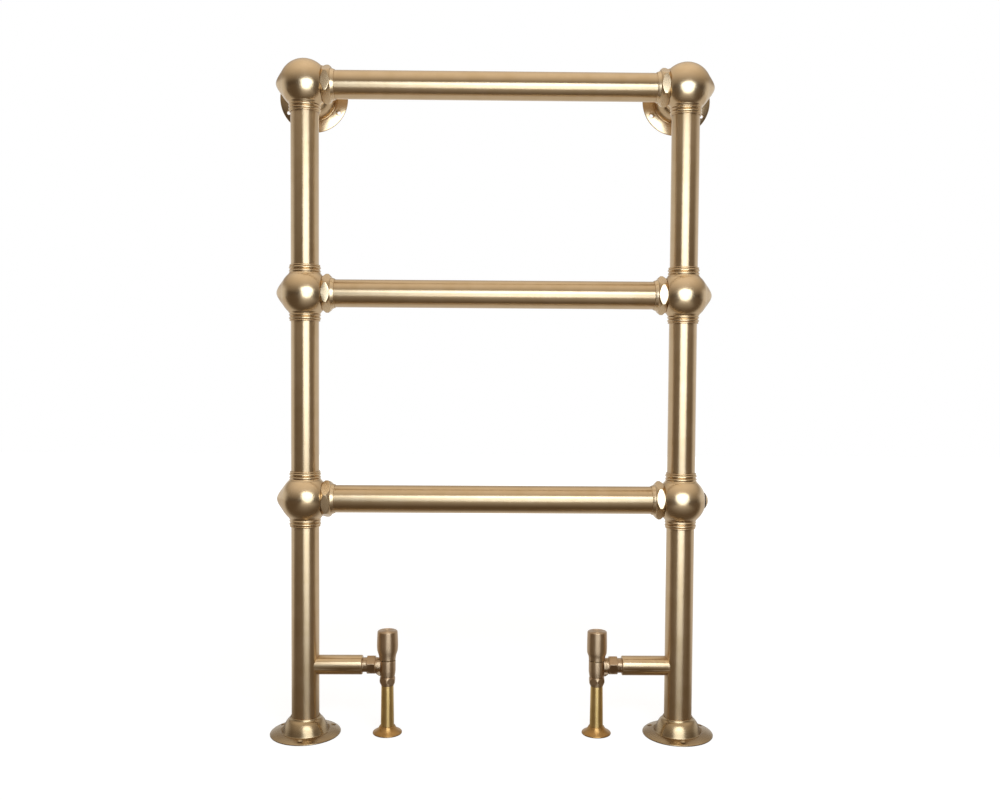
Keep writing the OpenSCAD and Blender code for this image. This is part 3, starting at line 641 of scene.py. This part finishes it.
def end_tree(tree: Tree, geometry: Socket) -> Tree:
    """Ends a Geometry Nodes tree in real geometry, and gives the tree."""
    add_node(tree, "NodeGroupOutput", {0: out_of(tree, "GeometryNodeRealizeInstances", {0: geometry})})
    return tree


@dataclass
class SubAssembly:
    """A group of pieces that is built on the shared places."""

    layout: Layout

    def dress(self, mesh: Mesh, finish: Finish, grain: Grain) -> None:
        """Gives a mesh one finish and nothing else."""
        mesh.materials.clear()
        mesh.materials.append(finish.material(grain, self.layout))

    def add(self, mesh: Mesh, finish: Finish, grain: Grain, *nodes: str, body: str = "rail") -> None:
        """Puts a finished mesh on a body, in place of the CAD nodes that it stands for."""
        piece = in_scene(mesh.name, mesh)
        self.dress(mesh, finish, grain)
        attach(piece, body)
        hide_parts(*nodes)
        log.info("%s: %d faces for %s", piece.name, len(mesh.polygons), ", ".join(nodes))

    def tube(self, start: float, end: float, edge: float = 0.4) -> Profile:
        """The outline of a length of the rail's tube."""
        return ring(self.layout.tube_bore_r, self.layout.tube_r, start, end, edge)

    def build(self) -> None:
        """Makes the group's pieces."""
        raise NotImplementedError


@dataclass
class Uprights(SubAssembly):
    """The three lengths of tube on each side."""

    foot: float = 0.5
    socket_floor: float = 24.08

    def build(self) -> None:
        """Makes the six lengths, each as its own piece."""
        low, middle, high = (z for _, z in self.layout.bars)
        spans = {
            "lower": (self.foot, low - self.socket_floor),
            "middle": (low + self.socket_floor, middle - self.socket_floor),
            "upper": (middle + self.socket_floor, high - self.socket_floor),
        }
        for side in Side:
            for word, (start, end) in spans.items():
                shell = Shell().turned(self.tube(start, end), place(self.layout.upright(side), UP))
                mesh = shell.mesh(f"{word}_length_{side.word}")
                self.add(mesh, LINISHED_BRASS, Grain.UPRIGHT, f"{word}_upright_{side.word}")


@dataclass
class BallJoints(SubAssembly):
    """The six hollow balls with their reeded collars and pointed nubs."""

    ball_r: float = 34.0
    seat: float = 24.81
    plug_flat: float = 31.5
    rim_ease: float = 0.5
    port_ease_deg: float = 1.0
    flat_ease_deg: float = 0.8
    port_r: float = 14.0
    thread_r: float = 20.4
    thread_start: float = 22.0
    thread_end: float = 30.31
    pointed_steps: int = 52
    flat_steps: int = 56
    nub: Corners = (
        (20.4, 27.2), (17.4, 29.3), (15.7, 30.55), (13.1, 32.5), (10.3, 34.55), (7.6, 36.3), (5.0, 37.7),
        (2.5, 38.6), (0.9, 38.79), (0.0, 38.8),
    )
    collar: Corners = (
        (24.0, 17.0), (24.2, 21.0), (22.9, 25.0), (21.6, 27.2), (20.75, 27.9), (21.0, 28.6), (21.75, 29.8),
        (21.2, 31.1), (20.2, 31.9), (20.0, 32.2), (20.3, 32.6), (21.3, 33.2), (21.7, 34.4), (21.2, 35.7),
        (20.3, 36.4), (20.2, 36.7), (20.7, 36.8), (20.95, 37.3), (20.9, 37.9), (20.5, 38.4), (19.7, 38.58),
    )
    collar_bore: Corners = ((19.42, 38.45), (19.34, 38.0), (19.12, 37.4), (19.12, 17.0))

    def radius_at(self, height: float) -> float:
        """The ball's own radius at a height from its middle."""
        return math.sqrt(self.ball_r**2 - height**2)

    def degrees_at(self, height: float) -> float:
        """The angle from the outward axis to the ball's surface at a height."""
        return math.degrees(math.acos(height / self.ball_r))

    def ball_profile(self, pointed: bool) -> Profile:
        """The ball's half outline from the bar's port to its outer end."""
        start_deg = self.degrees_at(-self.seat) - self.port_ease_deg
        port = [(0.0, -self.seat), (self.radius_at(self.seat) - self.rim_ease, -self.seat)]
        if pointed:
            ball = arc(self.ball_r, start_deg, self.degrees_at(self.nub[0][1]), self.pointed_steps)
            return port + ball + flowed(self.nub)[1:]
        end_deg = self.degrees_at(self.plug_flat) + self.flat_ease_deg
        ball = arc(self.ball_r, start_deg, end_deg, self.flat_steps)
        flat = [(self.radius_at(self.plug_flat) - self.rim_ease, self.plug_flat), (0.0, self.plug_flat)]
        return port + ball + flat

    def build(self) -> None:
        """Makes the six joints, each as its own piece."""
        threaded = ring(self.port_r, self.thread_r, -self.thread_end, -self.thread_start, edge=0.3)
        collar = [*flowed(self.collar), *self.collar_bore]
        for side in Side:
            for word, z in self.layout.bars:
                centre = self.layout.upright(side, z)
                where = place(centre, side.out)
                pointed = not (side is Side.RIGHT and word == "bottom")
                shell = Shell().turned(self.ball_profile(pointed), where, BALL_ROUND).turned(threaded, where)
                for way in (DOWN, NORTH) if word == "top" else (UP, DOWN):
                    shell.turned(collar, place(centre, way))
                mesh = shell.mesh(f"{word}_joint_{side.word}")
                self.add(mesh, SATIN_BRASS, Grain.LEVEL, f"{word}_ball_{side.word}")


@dataclass
class Bars(SubAssembly):
    """The three bars and the union nuts that hold them."""

    start: float = 34.81
    nut_start: float = 25.01
    nut: Nut = Nut(
        Hexagon(46.5), bore_r=20.5, length=11.5, foot_chamfer=3.4, top_chamfer=3.8, slope=1.15, edge=0.45,
        collar=((21.6, 11.5), (21.1, 13.0), (19.85, 16.5), (19.25, 16.5), (19.25, 9.9), (20.5, 9.9)),
    )
    bottom_turn_deg: float = 12.0

    def nut_tree(self) -> Tree:
        """Builds the tree that sets a nut at both ends of every bar."""
        names = ("Lowest bar", "Bar pitch", "Nut from centre", "Lowest turn")
        tree, given = new_tree("union_nuts_on_bars", "Bars", names)
        first = vector(tree, X=given["Nut from centre"], Z=given["Lowest bar"])
        step = vector(tree, Z=given["Bar pitch"])
        links = {"Count": given["Bars"], "Start Location": first, "Offset": step}
        line = out_of(tree, "GeometryNodeMeshLine", links, mode="OFFSET")
        links = {2: out_of(tree, "GeometryNodeInputIndex"), 3: 0}
        lowest = out_of(tree, "FunctionNodeCompare", links, data_type="INT", operation="EQUAL")
        turn = vector(tree, X=figured(tree, "MULTIPLY", lowest, given["Lowest turn"]))
        links = {"Points": line, "Instance": given["Geometry"], "Rotation": turn}
        right = out_of(tree, "GeometryNodeInstanceOnPoints", links)
        left = out_of(tree, "GeometryNodeTransform", {"Geometry": right, "Rotation": (0.0, 0.0, math.pi)})
        both = add_node(tree, "GeometryNodeJoinGeometry")
        for half in (right, left):
            tree.links.new(half, both.inputs[0])
        return end_tree(tree, both.outputs[0])

    def build(self) -> None:
        """Makes the bars and their nuts."""
        reach = self.layout.half_spacing - self.start
        for word, z in self.layout.bars:
            where = place(Vector((0.0, self.layout.rail_y, z)), EAST)
            shell = Shell().turned(self.tube(-reach, reach), where)
            self.add(shell.mesh(f"{word}_rail"), LINISHED_BRASS, Grain.LEVEL, f"{word}_bar")
        nut = Shell().nut(self.nut, place(Vector(), -EAST, UP))
        values = {
            "Bars": len(self.layout.bars),
            "Lowest bar": self.layout.bottom_bar_z * MM,
            "Bar pitch": self.layout.bar_pitch * MM,
            "Nut from centre": (self.layout.half_spacing - self.nut_start) * MM,
            "Lowest turn": math.radians(-self.bottom_turn_deg),
        }
        made = worked(nut.mesh("union_nuts"), self.nut_tree(), values)
        made.transform(Matrix.Translation((0, self.layout.rail_y * MM, 0)))
        nodes = [f"{word}_nut_{side.word}" for word, _ in self.layout.bars for side in Side]
        self.add(tidied(made), MILLED_BRASS, Grain.LEVEL, *nodes)


@dataclass
class BlankingPlug(SubAssembly):
    """The domed plug in the lower right ball, and its seal."""

    flat: float = 31.5
    seal_t: float = 1.4
    seal_bore_r: float = 9.1
    seal_r: float = 11.2
    head_r: float = 11.0
    head_h: float = 4.8
    shank_r: float = 9.0
    shank_l: float = 11.0
    key: Hexagon = Hexagon(8.0, 0.3)
    key_depth: float = 4.0
    edge: float = 0.3
    seal_edge: float = 0.5
    rim_ease_deg: float = 1.5
    rim_h: float = 0.35
    floor_share: float = 0.7
    floor_ease: float = 0.1
    crown_steps: int = 14

    @property
    def seat(self) -> float:
        """The height of the head's underside."""
        return self.flat + self.seal_t

    def outline(self, angle: float) -> Profile:
        """The plug's outline at one angle, from the socket's floor round to its thread's end."""
        crown_r = (self.head_r**2 + self.head_h**2) / (2 * self.head_h)
        crown_h = self.seat + self.head_h - crown_r
        socket_r = self.key.radius(angle)
        mouth_deg = math.degrees(math.asin((socket_r + self.edge) / crown_r))
        end_deg = math.degrees(math.asin(self.head_r / crown_r)) - self.rim_ease_deg
        floor_h, shank_h = self.flat - self.key_depth, self.flat - self.shank_l
        mouth_h = crown_h + math.sqrt(crown_r**2 - socket_r**2) - self.edge
        return [
            (0.0, floor_h), (socket_r * self.floor_share, floor_h), (socket_r, floor_h + self.floor_ease),
            (socket_r, mouth_h), *arc(crown_r, mouth_deg, end_deg, self.crown_steps, crown_h),
            (self.head_r, self.seat + self.rim_h), (self.head_r - self.edge, self.seat),
            (self.shank_r, self.seat), (self.shank_r, shank_h), (0.0, shank_h),
        ]

    def build(self) -> None:
        """Makes the plug with its key socket, and the seal below its head."""
        where = place(self.layout.upright(Side.RIGHT, self.layout.bottom_bar_z), EAST)
        plug = Shell().turned(self.outline, where, self.key.angles())
        self.add(plug.mesh("domed_plug"), SATIN_BRASS, Grain.LEVEL, "blanking_plug")
        seal = ring(self.seal_bore_r, self.seal_r, self.flat, self.seat, self.seal_edge)
        self.add(Shell().turned(seal, where).mesh("plug_seal"), RUBBER, Grain.LEVEL, "blanking_plug_seal")


@dataclass
class Flanges(SubAssembly):
    """The two floor flanges and the two wall flanges, all of one pattern."""

    height: float = 25.0
    bore_r: float = 19.15
    screw_circle_d: float = 83.0
    screw_hole_d: float = 5.5
    countersink_d: float = 8.1
    countersink_l: float = 1.3
    screw_seat: float = 3.58
    holes: int = 3
    first_hole_deg: float = 30.0
    hole_steps: int = 40
    drill_l: float = 60.0

    def profile(self) -> Profile:
        """The flange's closed outline: saucer rim, small step, bell and lip."""
        rim = [
            (48.1, 0.0), (48.6, 0.45), (48.6, 1.15), (48.1, 1.75), (44.8, 2.75), (41.35, self.screw_seat),
            (38.5, 4.05), (35.2, 4.5),
        ]
        step = [(34.1, 4.62), (33.7, 4.45), (33.4, 3.75), (33.0, 3.55), (32.4, 3.65), (31.95, 4.2)]
        bell = [
            (31.7, 4.9), (30.6, 8.0), (29.4, 11.2), (28.0, 14.3), (26.2, 17.4), (24.7, 19.6), (23.2, 21.0),
            (21.9, 21.9), (21.2, 23.0),
        ]
        lip = [
            (20.85, 23.9), (20.6, 24.6), (20.1, self.height), (19.6, self.height),
            (self.bore_r + 0.1, self.height - 0.3), (self.bore_r, self.height - 0.8),
        ]
        rounded = softened(rim, size=0.3, steps=2, closed=False) + flowed(step, times=1)
        return rounded + flowed(bell) + flowed(lip, times=1) + [(self.bore_r, 0.0)]

    def hole_tree(self) -> Tree:
        """Builds the tree that drills and countersinks holes on a circle."""
        names = (
            "Circle diameter", "Hole diameter", "Countersink diameter", "Countersink depth", "Face height",
            "First angle",
        )
        tree, given = new_tree("screw_holes_on_circle", "Holes", names)
        circle_r, hole_r = (figured(tree, "MULTIPLY", given[name], 0.5) for name in names[:2])
        depth = given["Countersink depth"]
        circle = out_of(tree, "GeometryNodeMeshCircle", {"Vertices": given["Holes"], "Radius": circle_r})
        links = {"Geometry": circle, "Rotation": vector(tree, Z=given["First angle"])}
        points = out_of(tree, "GeometryNodeTransform", links)
        links = {"Vertices": self.hole_steps, "Radius": hole_r, "Depth": self.drill_l * MM}
        drill = out_of(tree, "GeometryNodeMeshCylinder", links)
        # The cone is twice as long as the countersink, so its widest part is clear of the face
        links = {
            "Vertices": self.hole_steps, "Depth": figured(tree, "MULTIPLY", depth, 2.0),
            "Radius Top": figured(tree, "SUBTRACT", given["Countersink diameter"], hole_r),
            "Radius Bottom": hole_r,
        }
        cone = out_of(tree, "GeometryNodeMeshCone", links)
        lift = vector(tree, Z=figured(tree, "SUBTRACT", given["Face height"], depth))
        raised = out_of(tree, "GeometryNodeTransform", {"Geometry": cone, "Translation": lift})
        cut = given["Geometry"]
        for tool in (drill, raised):
            spread = out_of(tree, "GeometryNodeInstanceOnPoints", {"Points": points, "Instance": tool})
            links = {0: cut, 1: out_of(tree, "GeometryNodeRealizeInstances", {0: spread})}
            cut = out_of(tree, "GeometryNodeMeshBoolean", links, operation="DIFFERENCE", solver="EXACT")
        return end_tree(tree, cut)

    def build(self) -> None:
        """Makes the four flanges from one drilled pattern."""
        blank = Shell().turned(self.profile(), Matrix()).mesh("flange_blank")
        values = {
            "Holes": self.holes, "Circle diameter": self.screw_circle_d * MM,
            "Hole diameter": self.screw_hole_d * MM, "Countersink diameter": self.countersink_d * MM,
            "Countersink depth": self.countersink_l * MM, "Face height": self.screw_seat * MM,
            "First angle": math.radians(self.first_hole_deg),
        }
        pattern = tidied(worked(blank, self.hole_tree(), values))
        for side in Side:
            at_wall = Vector((side.value * self.layout.half_spacing, self.layout.wall_y, self.layout.top_z))
            for word, where, finish, grain in (
                # The floor flanges take the brass darkened with painted shade, and the wall flanges the plain
                # satin brass
                ("floor", place(self.layout.upright(side), UP, EAST), SHADED_FOOT_BRASS, Grain.UPRIGHT),
                ("wall", place(at_wall, -NORTH, -EAST), SATIN_BRASS, Grain.TO_WALL),
            ):
                mesh = pattern.copy()
                mesh.name = f"{word}_plate_{side.word}"
                mesh.transform(Matrix.Scale(MM, 4) @ where @ Matrix.Scale(1 / MM, 4))
                self.add(mesh, finish, grain, f"{word}_flange_{side.word}")


@dataclass
class WallStays(SubAssembly):
    """The two short tubes from the top balls to the wall flanges."""

    start: float = 24.08
    end: float = 71.5
    cap_start: float = 69.5
    cap_end: float = 71.4
    cap_lap: float = 0.2

    def build(self) -> None:
        """Makes both stays as one piece, like their node, each closed by a cap at the wall."""
        cap_r = self.layout.tube_bore_r + self.cap_lap
        cap = [(0.0, self.cap_start), (cap_r, self.cap_start), (cap_r, self.cap_end), (0.0, self.cap_end)]
        shell = Shell()
        for side in Side:
            where = place(self.layout.upright(side, self.layout.top_z), NORTH)
            shell.turned(self.tube(self.start, self.end), where).turned(cap, where)
        self.add(shell.mesh("stays_to_wall"), LINISHED_BRASS, Grain.TO_WALL, "wall_stays")


@dataclass
class ValveSides(SubAssembly):
    """The stubs, valves, heads and pipe covers at both feet."""

    stub: Corners = (
        (8.1, 70.0), (11.8, 70.0), (11.8, 12.5), (13.3, 12.5), (13.3, 78.7), (12.5, 79.5), (8.1, 79.5),
    )
    nut_start: float = 16.5
    nut_tilt_deg: float = 19.0
    union: Nut = Nut(Hexagon(24.0, 1.4), bore_r=8.2, length=11.5, foot_chamfer=1.5, top_chamfer=1.5)
    compression: Nut = Nut(
        Hexagon(20.6), bore_r=7.8, length=12.2, foot_chamfer=3.2, top_chamfer=1.6, slope=2.2
    )
    compression_foot: float = -28.8
    barrel: Corners = (
        (8.3, 6.8), (11.3, 6.8), (11.3, -8.0), (10.3, -15.0), (9.2, -15.0), (9.2, -25.0), (7.6, -25.0),
        (7.6, -16.0), (5.0, -16.0), (5.0, -9.0), (8.3, -8.6),
    )
    inlet: Corners = ((6.5, 9.0), (9.6, 9.0), (9.9, 12.6), (10.2, 13.4), (10.2, 18.5), (6.5, 18.5))
    web: Corners = (
        (9.0, -5.5), (16.2, -9.0), (16.1, -10.8), (15.4, -12.0), (13.6, -13.2), (12.2, -14.2), (10.6, -14.8),
        (9.0, -14.6),
    )
    web_t: float = 9.0
    web_edge: float = 1.8
    tail: Corners = (
        (6.5, 19.5), (10.0, 19.5), (10.0, 22.5), (8.0, 22.5), (8.0, 28.3), (10.0, 28.3), (10.0, 34.4),
        (8.0, 34.4), (8.0, 43.5), (6.5, 43.5),
    )
    head_foot: float = 7.9
    head_h: float = 40.0
    head_bore: Corners = ((0.0, 34.5), (9.7, 34.5), (9.7, 0.3), (10.0, 0.0))
    wheel: Corners = (
        (11.1, 0.0), (11.35, 0.3), (11.55, 3.0), (12.1, 6.2), (13.1, 9.2), (14.05, 12.0), (14.55, 15.5),
        (14.7, 20.0), (14.62, 24.0), (14.35, 31.0), (14.08, 36.5), (13.9, 38.7),
    )
    wheel_edge: float = 1.3
    cap: Corners = (
        (11.1, 0.0), (11.35, 0.3), (11.5, 3.5), (11.9, 6.0), (12.9, 8.0), (13.55, 9.8), (13.8, 12.5),
        (13.9, 17.0), (13.88, 24.0), (13.78, 31.0), (13.6, 37.0), (13.5, 39.2),
    )
    cap_edge: float = 0.8
    sleeve: Corners = ((7.8, 0.05), (9.4, 0.05), (8.5, 67.2), (7.8, 67.2))
    rose_bell: Corners = (
        (19.7, 0.0), (20.25, 0.25), (20.4, 0.9), (20.2, 1.7), (19.0, 2.45), (16.8, 3.6), (14.6, 5.0),
        (12.7, 6.9), (11.4, 9.0), (10.8, 10.3), (10.3, 10.5), (9.6, 10.45),
    )
    rose_under: Corners = ((9.52, 10.2), (9.52, 8.1), (12.5, 5.4), (15.6, 2.9), (18.4, 1.1), (18.6, 0.0))

    def one_side(self, side: Side) -> None:
        """Makes a side's stub, valve body, tail, sleeve and rose."""
        centre = self.layout.valve(side, self.layout.stub_z)
        from_upright = place(self.layout.upright(side, self.layout.stub_z), -side.out)
        level, on_floor = place(centre, side.out), place(self.layout.valve(side), UP)
        across = place(centre, NORTH * -side.value, side.out)
        body = Shell().turned(softened(self.barrel, size=0.45), place(centre, UP))
        body.turned(softened(self.inlet, size=0.35), level)
        body.sawn(softened(self.web, size=1.2), self.web_t, across, self.web_edge)
        stub = Shell().turned(softened(self.stub, size=0.25), from_upright)
        tail = Shell().turned(softened(self.tail, size=0.3), level)
        sleeve = Shell().turned(softened(self.sleeve, size=0.25), on_floor)
        rose = Shell().turned([*flowed(self.rose_bell), *self.rose_under], on_floor)
        for shell, name, finish, grain, node in (
            (stub, "brazed_stub", LINISHED_BRASS, Grain.LEVEL, "stub"),
            (body, "angle_body", VALVE_BRONZE, Grain.VALVE, "valve_body"),
            (tail, "union_tail", VALVE_BRONZE, Grain.LEVEL, "valve_tail"),
            (sleeve, "sleeve", YELLOW_BRASS, Grain.VALVE, "pipe_sleeve"),
            # The roses' browner brass is painted shade
            (rose, "rose", SHADED_ROSE_BRASS, Grain.VALVE, "floor_rose"),
        ):
            self.add(shell.mesh(f"{name}_{side.word}"), finish, grain, f"{node}_{side.word}")

    def nuts(self) -> None:
        """Makes the union nuts and the compression nuts, a pair of each to a piece as in their nodes."""
        unions, compressions = Shell(), Shell()
        tilt = math.radians(self.nut_tilt_deg)
        corner = Vector((0.0, -math.cos(tilt), math.sin(tilt)))
        for side in Side:
            centre = self.layout.valve(side, self.layout.stub_z)
            unions.nut(self.union, place(centre + side.out * self.nut_start, side.out, corner))
            compressions.nut(self.compression, place(centre + UP * self.compression_foot, UP, NORTH))
        self.add(unions.mesh("valve_nuts"), VALVE_BRONZE, Grain.LEVEL, "valve_union_nuts")
        self.add(compressions.mesh("pipe_nuts"), VALVE_BRONZE, Grain.VALVE, "compression_nuts")

    def head(self, side: Side, outline: Corners, edge: float, node: str) -> None:
        """Makes the handwheel's or the cap's shell, its outside given from the foot to the rounded top."""
        r, h = outline[-1][0], self.head_h
        crown = flowed([(r, h - edge), (r - 0.25 * edge, h - 0.3 * edge), (r - edge, h)])
        rows = [*self.head_bore, *flowed(outline), *crown, (2.0, h), (0.0, h)]
        shell = Shell().turned(rows, place(self.layout.valve(side, self.layout.stub_z + self.head_foot), UP))
        self.add(shell.mesh(f"{node}_shell"), VALVE_BRONZE, Grain.VALVE, node, body=node)

    def build(self) -> None:
        """Makes everything on the valve side."""
        for side in Side:
            self.one_side(side)
        self.nuts()
        self.head(Side.LEFT, self.wheel, self.wheel_edge, "handwheel")
        self.head(Side.RIGHT, self.cap, self.cap_edge, "lockshield_cap")


@dataclass
class InnerPieces(SubAssembly):
    """The pieces inside, whose CAD shapes stay and get their real finishes."""

    nodes: dict[str, bpy.types.Object]

    def build(self) -> None:
        """Gives every carried-over node its finish."""
        finishes = (
            (RAW_BRASS, Grain.UPRIGHT, ("foot_plugs",)),
            (RAW_BRASS, Grain.LEVEL, ("bar_tails",)),
            (RAW_BRASS, Grain.VALVE, (
                "olives", "headwork_left", "headwork_right", "wheel_spindle", "wheel_disc_carrier",
                "lockshield_spindle", "lockshield_disc_carrier",
            )),
            (FIBRE, Grain.LEVEL, ("bar_seals", "valve_union_washers")),
            (RUBBER, Grain.VALVE, ("spindle_o_rings", "wheel_disc_washer", "lockshield_disc_washer")),
            (ACETAL, Grain.VALVE, ("handwheel_insert", "lockshield_grip_ring")),
        )
        for finish, grain, names in finishes:
            for name in names:
                self.dress(self.nodes[name].data, finish, grain)
                log.info("%s: dressed in %s", name, finish.named(grain))


# ---- studio


@dataclass
class Studio:
    """The floor, the lights, the surroundings and the camera."""

    camera_at: Place = (-5.78, -1335.54, 517.19)
    pan: float = 0.0107
    tilt: float = 0.0387
    roll: float = -0.0064
    lens: float = 34.56
    sensor: float = 36.0
    nearest_m: float = 0.01
    farthest_m: float = 30.0
    light: str = "#DDEDFF"
    white: Tone = (1.0, 1.0, 1.0, 1.0)
    room_low: Tone = (0.08, 0.06, 0.042, 1.0)
    room_middle: Tone = (0.34, 0.30, 0.255, 1.0)
    room_high: Tone = (1.1, 1.02, 0.92, 1.0)
    far_side: Tone = (0.88, 0.90, 0.93, 1.0)
    floor_half_m: float = 4.0
    floor_ahead: Tone = (0.13, 0.098, 0.068, 1.0)
    floor_behind: Tone = (0.70, 0.68, 0.66, 1.0)
    floor_matt: Tone = (0.28, 0.28, 0.28, 1.0)

    def camera(self) -> None:
        """Sets the camera where the photograph was taken from."""
        cos_pan, sin_pan = math.cos(self.pan), math.sin(self.pan)
        forward = Vector((sin_pan * math.cos(self.tilt), cos_pan * math.cos(self.tilt), -math.sin(self.tilt)))
        right = Vector((cos_pan, -sin_pan, 0.0))
        down = forward.cross(right)
        c, s = math.cos(self.roll), math.sin(self.roll)
        right, down = right * c + down * s, down * c - right * s
        data = bpy.data.cameras.new("camera")
        data.lens, data.sensor_width, data.sensor_fit = self.lens, self.sensor, "HORIZONTAL"
        data.clip_start, data.clip_end = self.nearest_m, self.farthest_m
        eye = in_scene("camera", data)
        turn = Matrix((right, -down, -forward)).transposed().to_4x4()
        eye.matrix_world = Matrix.Translation(Vector(self.camera_at) * MM) @ turn
        bpy.context.scene.camera = eye

    def panel(self, name: str, at: Place, size: tuple[float, float], radiance: float) -> None:
        """Hangs a soft oval light, in metres, that faces the rail; at radiance 1 its face is paper white."""
        data = bpy.data.lights.new(name, "AREA")
        data.shape, data.size, data.size_y = "ELLIPSE", *size
        data.energy = math.pi**2 / 4 * size[0] * size[1] * radiance
        data.color = linear(self.light)[:3]
        light = in_scene(name, data)
        light.location = at
        light.rotation_euler = (math.pi / 2, 0.0, 0.0)
        light.visible_camera = False

    def surroundings(self) -> None:
        """Makes a white background for the camera, and a dark room with a pale far side for the metal."""
        world = bpy.data.worlds.new("studio")
        bpy.context.scene.world = world
        tree = emptied(world)
        _, way = point(tree, "Generated")
        high = blended(tree, ranged(tree, way["Z"], 0.35, 1.0), self.room_middle, self.room_high)
        front = blended(tree, eased(tree, way["Z"], -0.05, 0.35), self.room_low, high)
        # The far side is pale only behind the rail and up to a little above the level
        back = figured(tree, "MULTIPLY", eased(tree, way["Y"], -0.36, 0.3), eased(tree, way["Z"], 0.42, 0.18))
        sky = blended(tree, back, front, self.far_side)
        room, white = (out_of(tree, "ShaderNodeBackground", {"Color": tone}) for tone in (sky, self.white))
        seen_apart(tree, room, white, "ShaderNodeOutputWorld")

    def floor_material(self) -> Material:
        """Gives the floor's finish: near white to the camera, and a lit studio floor to the metal."""
        material = bpy.data.materials.new("pale_studio_floor")
        tree = emptied(material)
        where, xyz = point(tree)
        # In the metal, the floor is bright ahead of the rail under the softbox and pale behind the rail
        aside = figured(tree, "ABSOLUTE", figured(tree, "SUBTRACT", xyz["X"], 0.2))
        lit = figured(tree, "MULTIPLY", eased(tree, aside, 0.9, 0.3), ranged(tree, xyz["Y"], -0.2, -1.55))
        ahead = blended(tree, lit, self.floor_ahead, self.white)
        pale = blended(tree, eased(tree, xyz["Y"], -0.05, 0.25), ahead, self.floor_behind)
        mirrored = out_of(tree, "ShaderNodeEmission", {"Color": pale, "Strength": 1.0})
        # To the camera it glows near white round the rail, where its matt part takes the shadow
        reach = add_node(tree, "ShaderNodeVectorMath", {0: where}, operation="LENGTH").outputs["Value"]
        glow = eased(tree, reach, 0.5, 1.5, 0.79, 1.0)
        matt = out_of(tree, "ShaderNodeBsdfDiffuse", {"Color": self.floor_matt})
        white = out_of(tree, "ShaderNodeEmission", {"Color": self.white, "Strength": glow})
        pale_floor = out_of(tree, "ShaderNodeAddShader", {0: matt, 1: white})
        seen_apart(tree, mirrored, pale_floor, "ShaderNodeOutputMaterial")
        return material

    def floor(self) -> None:
        """Lays a pale floor that keeps the rail's soft shadow near its feet."""
        mesh = bpy.data.meshes.new("floor")
        half = self.floor_half_m
        corners = [(-half, -half, 0), (half, -half, 0), (half, half, 0), (-half, half, 0)]
        mesh.from_pydata(corners, [], [(0, 1, 2, 3)])
        mesh.materials.append(self.floor_material())
        in_scene("floor", mesh)

    def build(self) -> None:
        """Sets up the whole studio."""
        bpy.context.scene.view_settings.view_transform = "Standard"
        self.camera()
        self.surroundings()
        self.floor()
        self.panel("softbox", (0.21, -1.01, 0.62), (1.15, 0.95), 3.4)
        self.panel("softbox_top", (0.21, -1.02, 0.9), (1.3, 0.4), 2.8)


def main() -> None:
    """Builds and dresses the towel rail, then its studio."""
    logging.basicConfig(level=logging.INFO, format="%(name)s: %(message)s")
    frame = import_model()
    layout = Layout()
    kinds = (Uprights, BallJoints, Bars, BlankingPlug, Flanges, WallStays, ValveSides)
    for group in (*(kind(layout) for kind in kinds), InnerPieces(layout, frame["nodes"])):
        log.info("making %s", type(group).__name__)
        group.build()
    Studio().build()


if __name__ == "__main__":
    main()
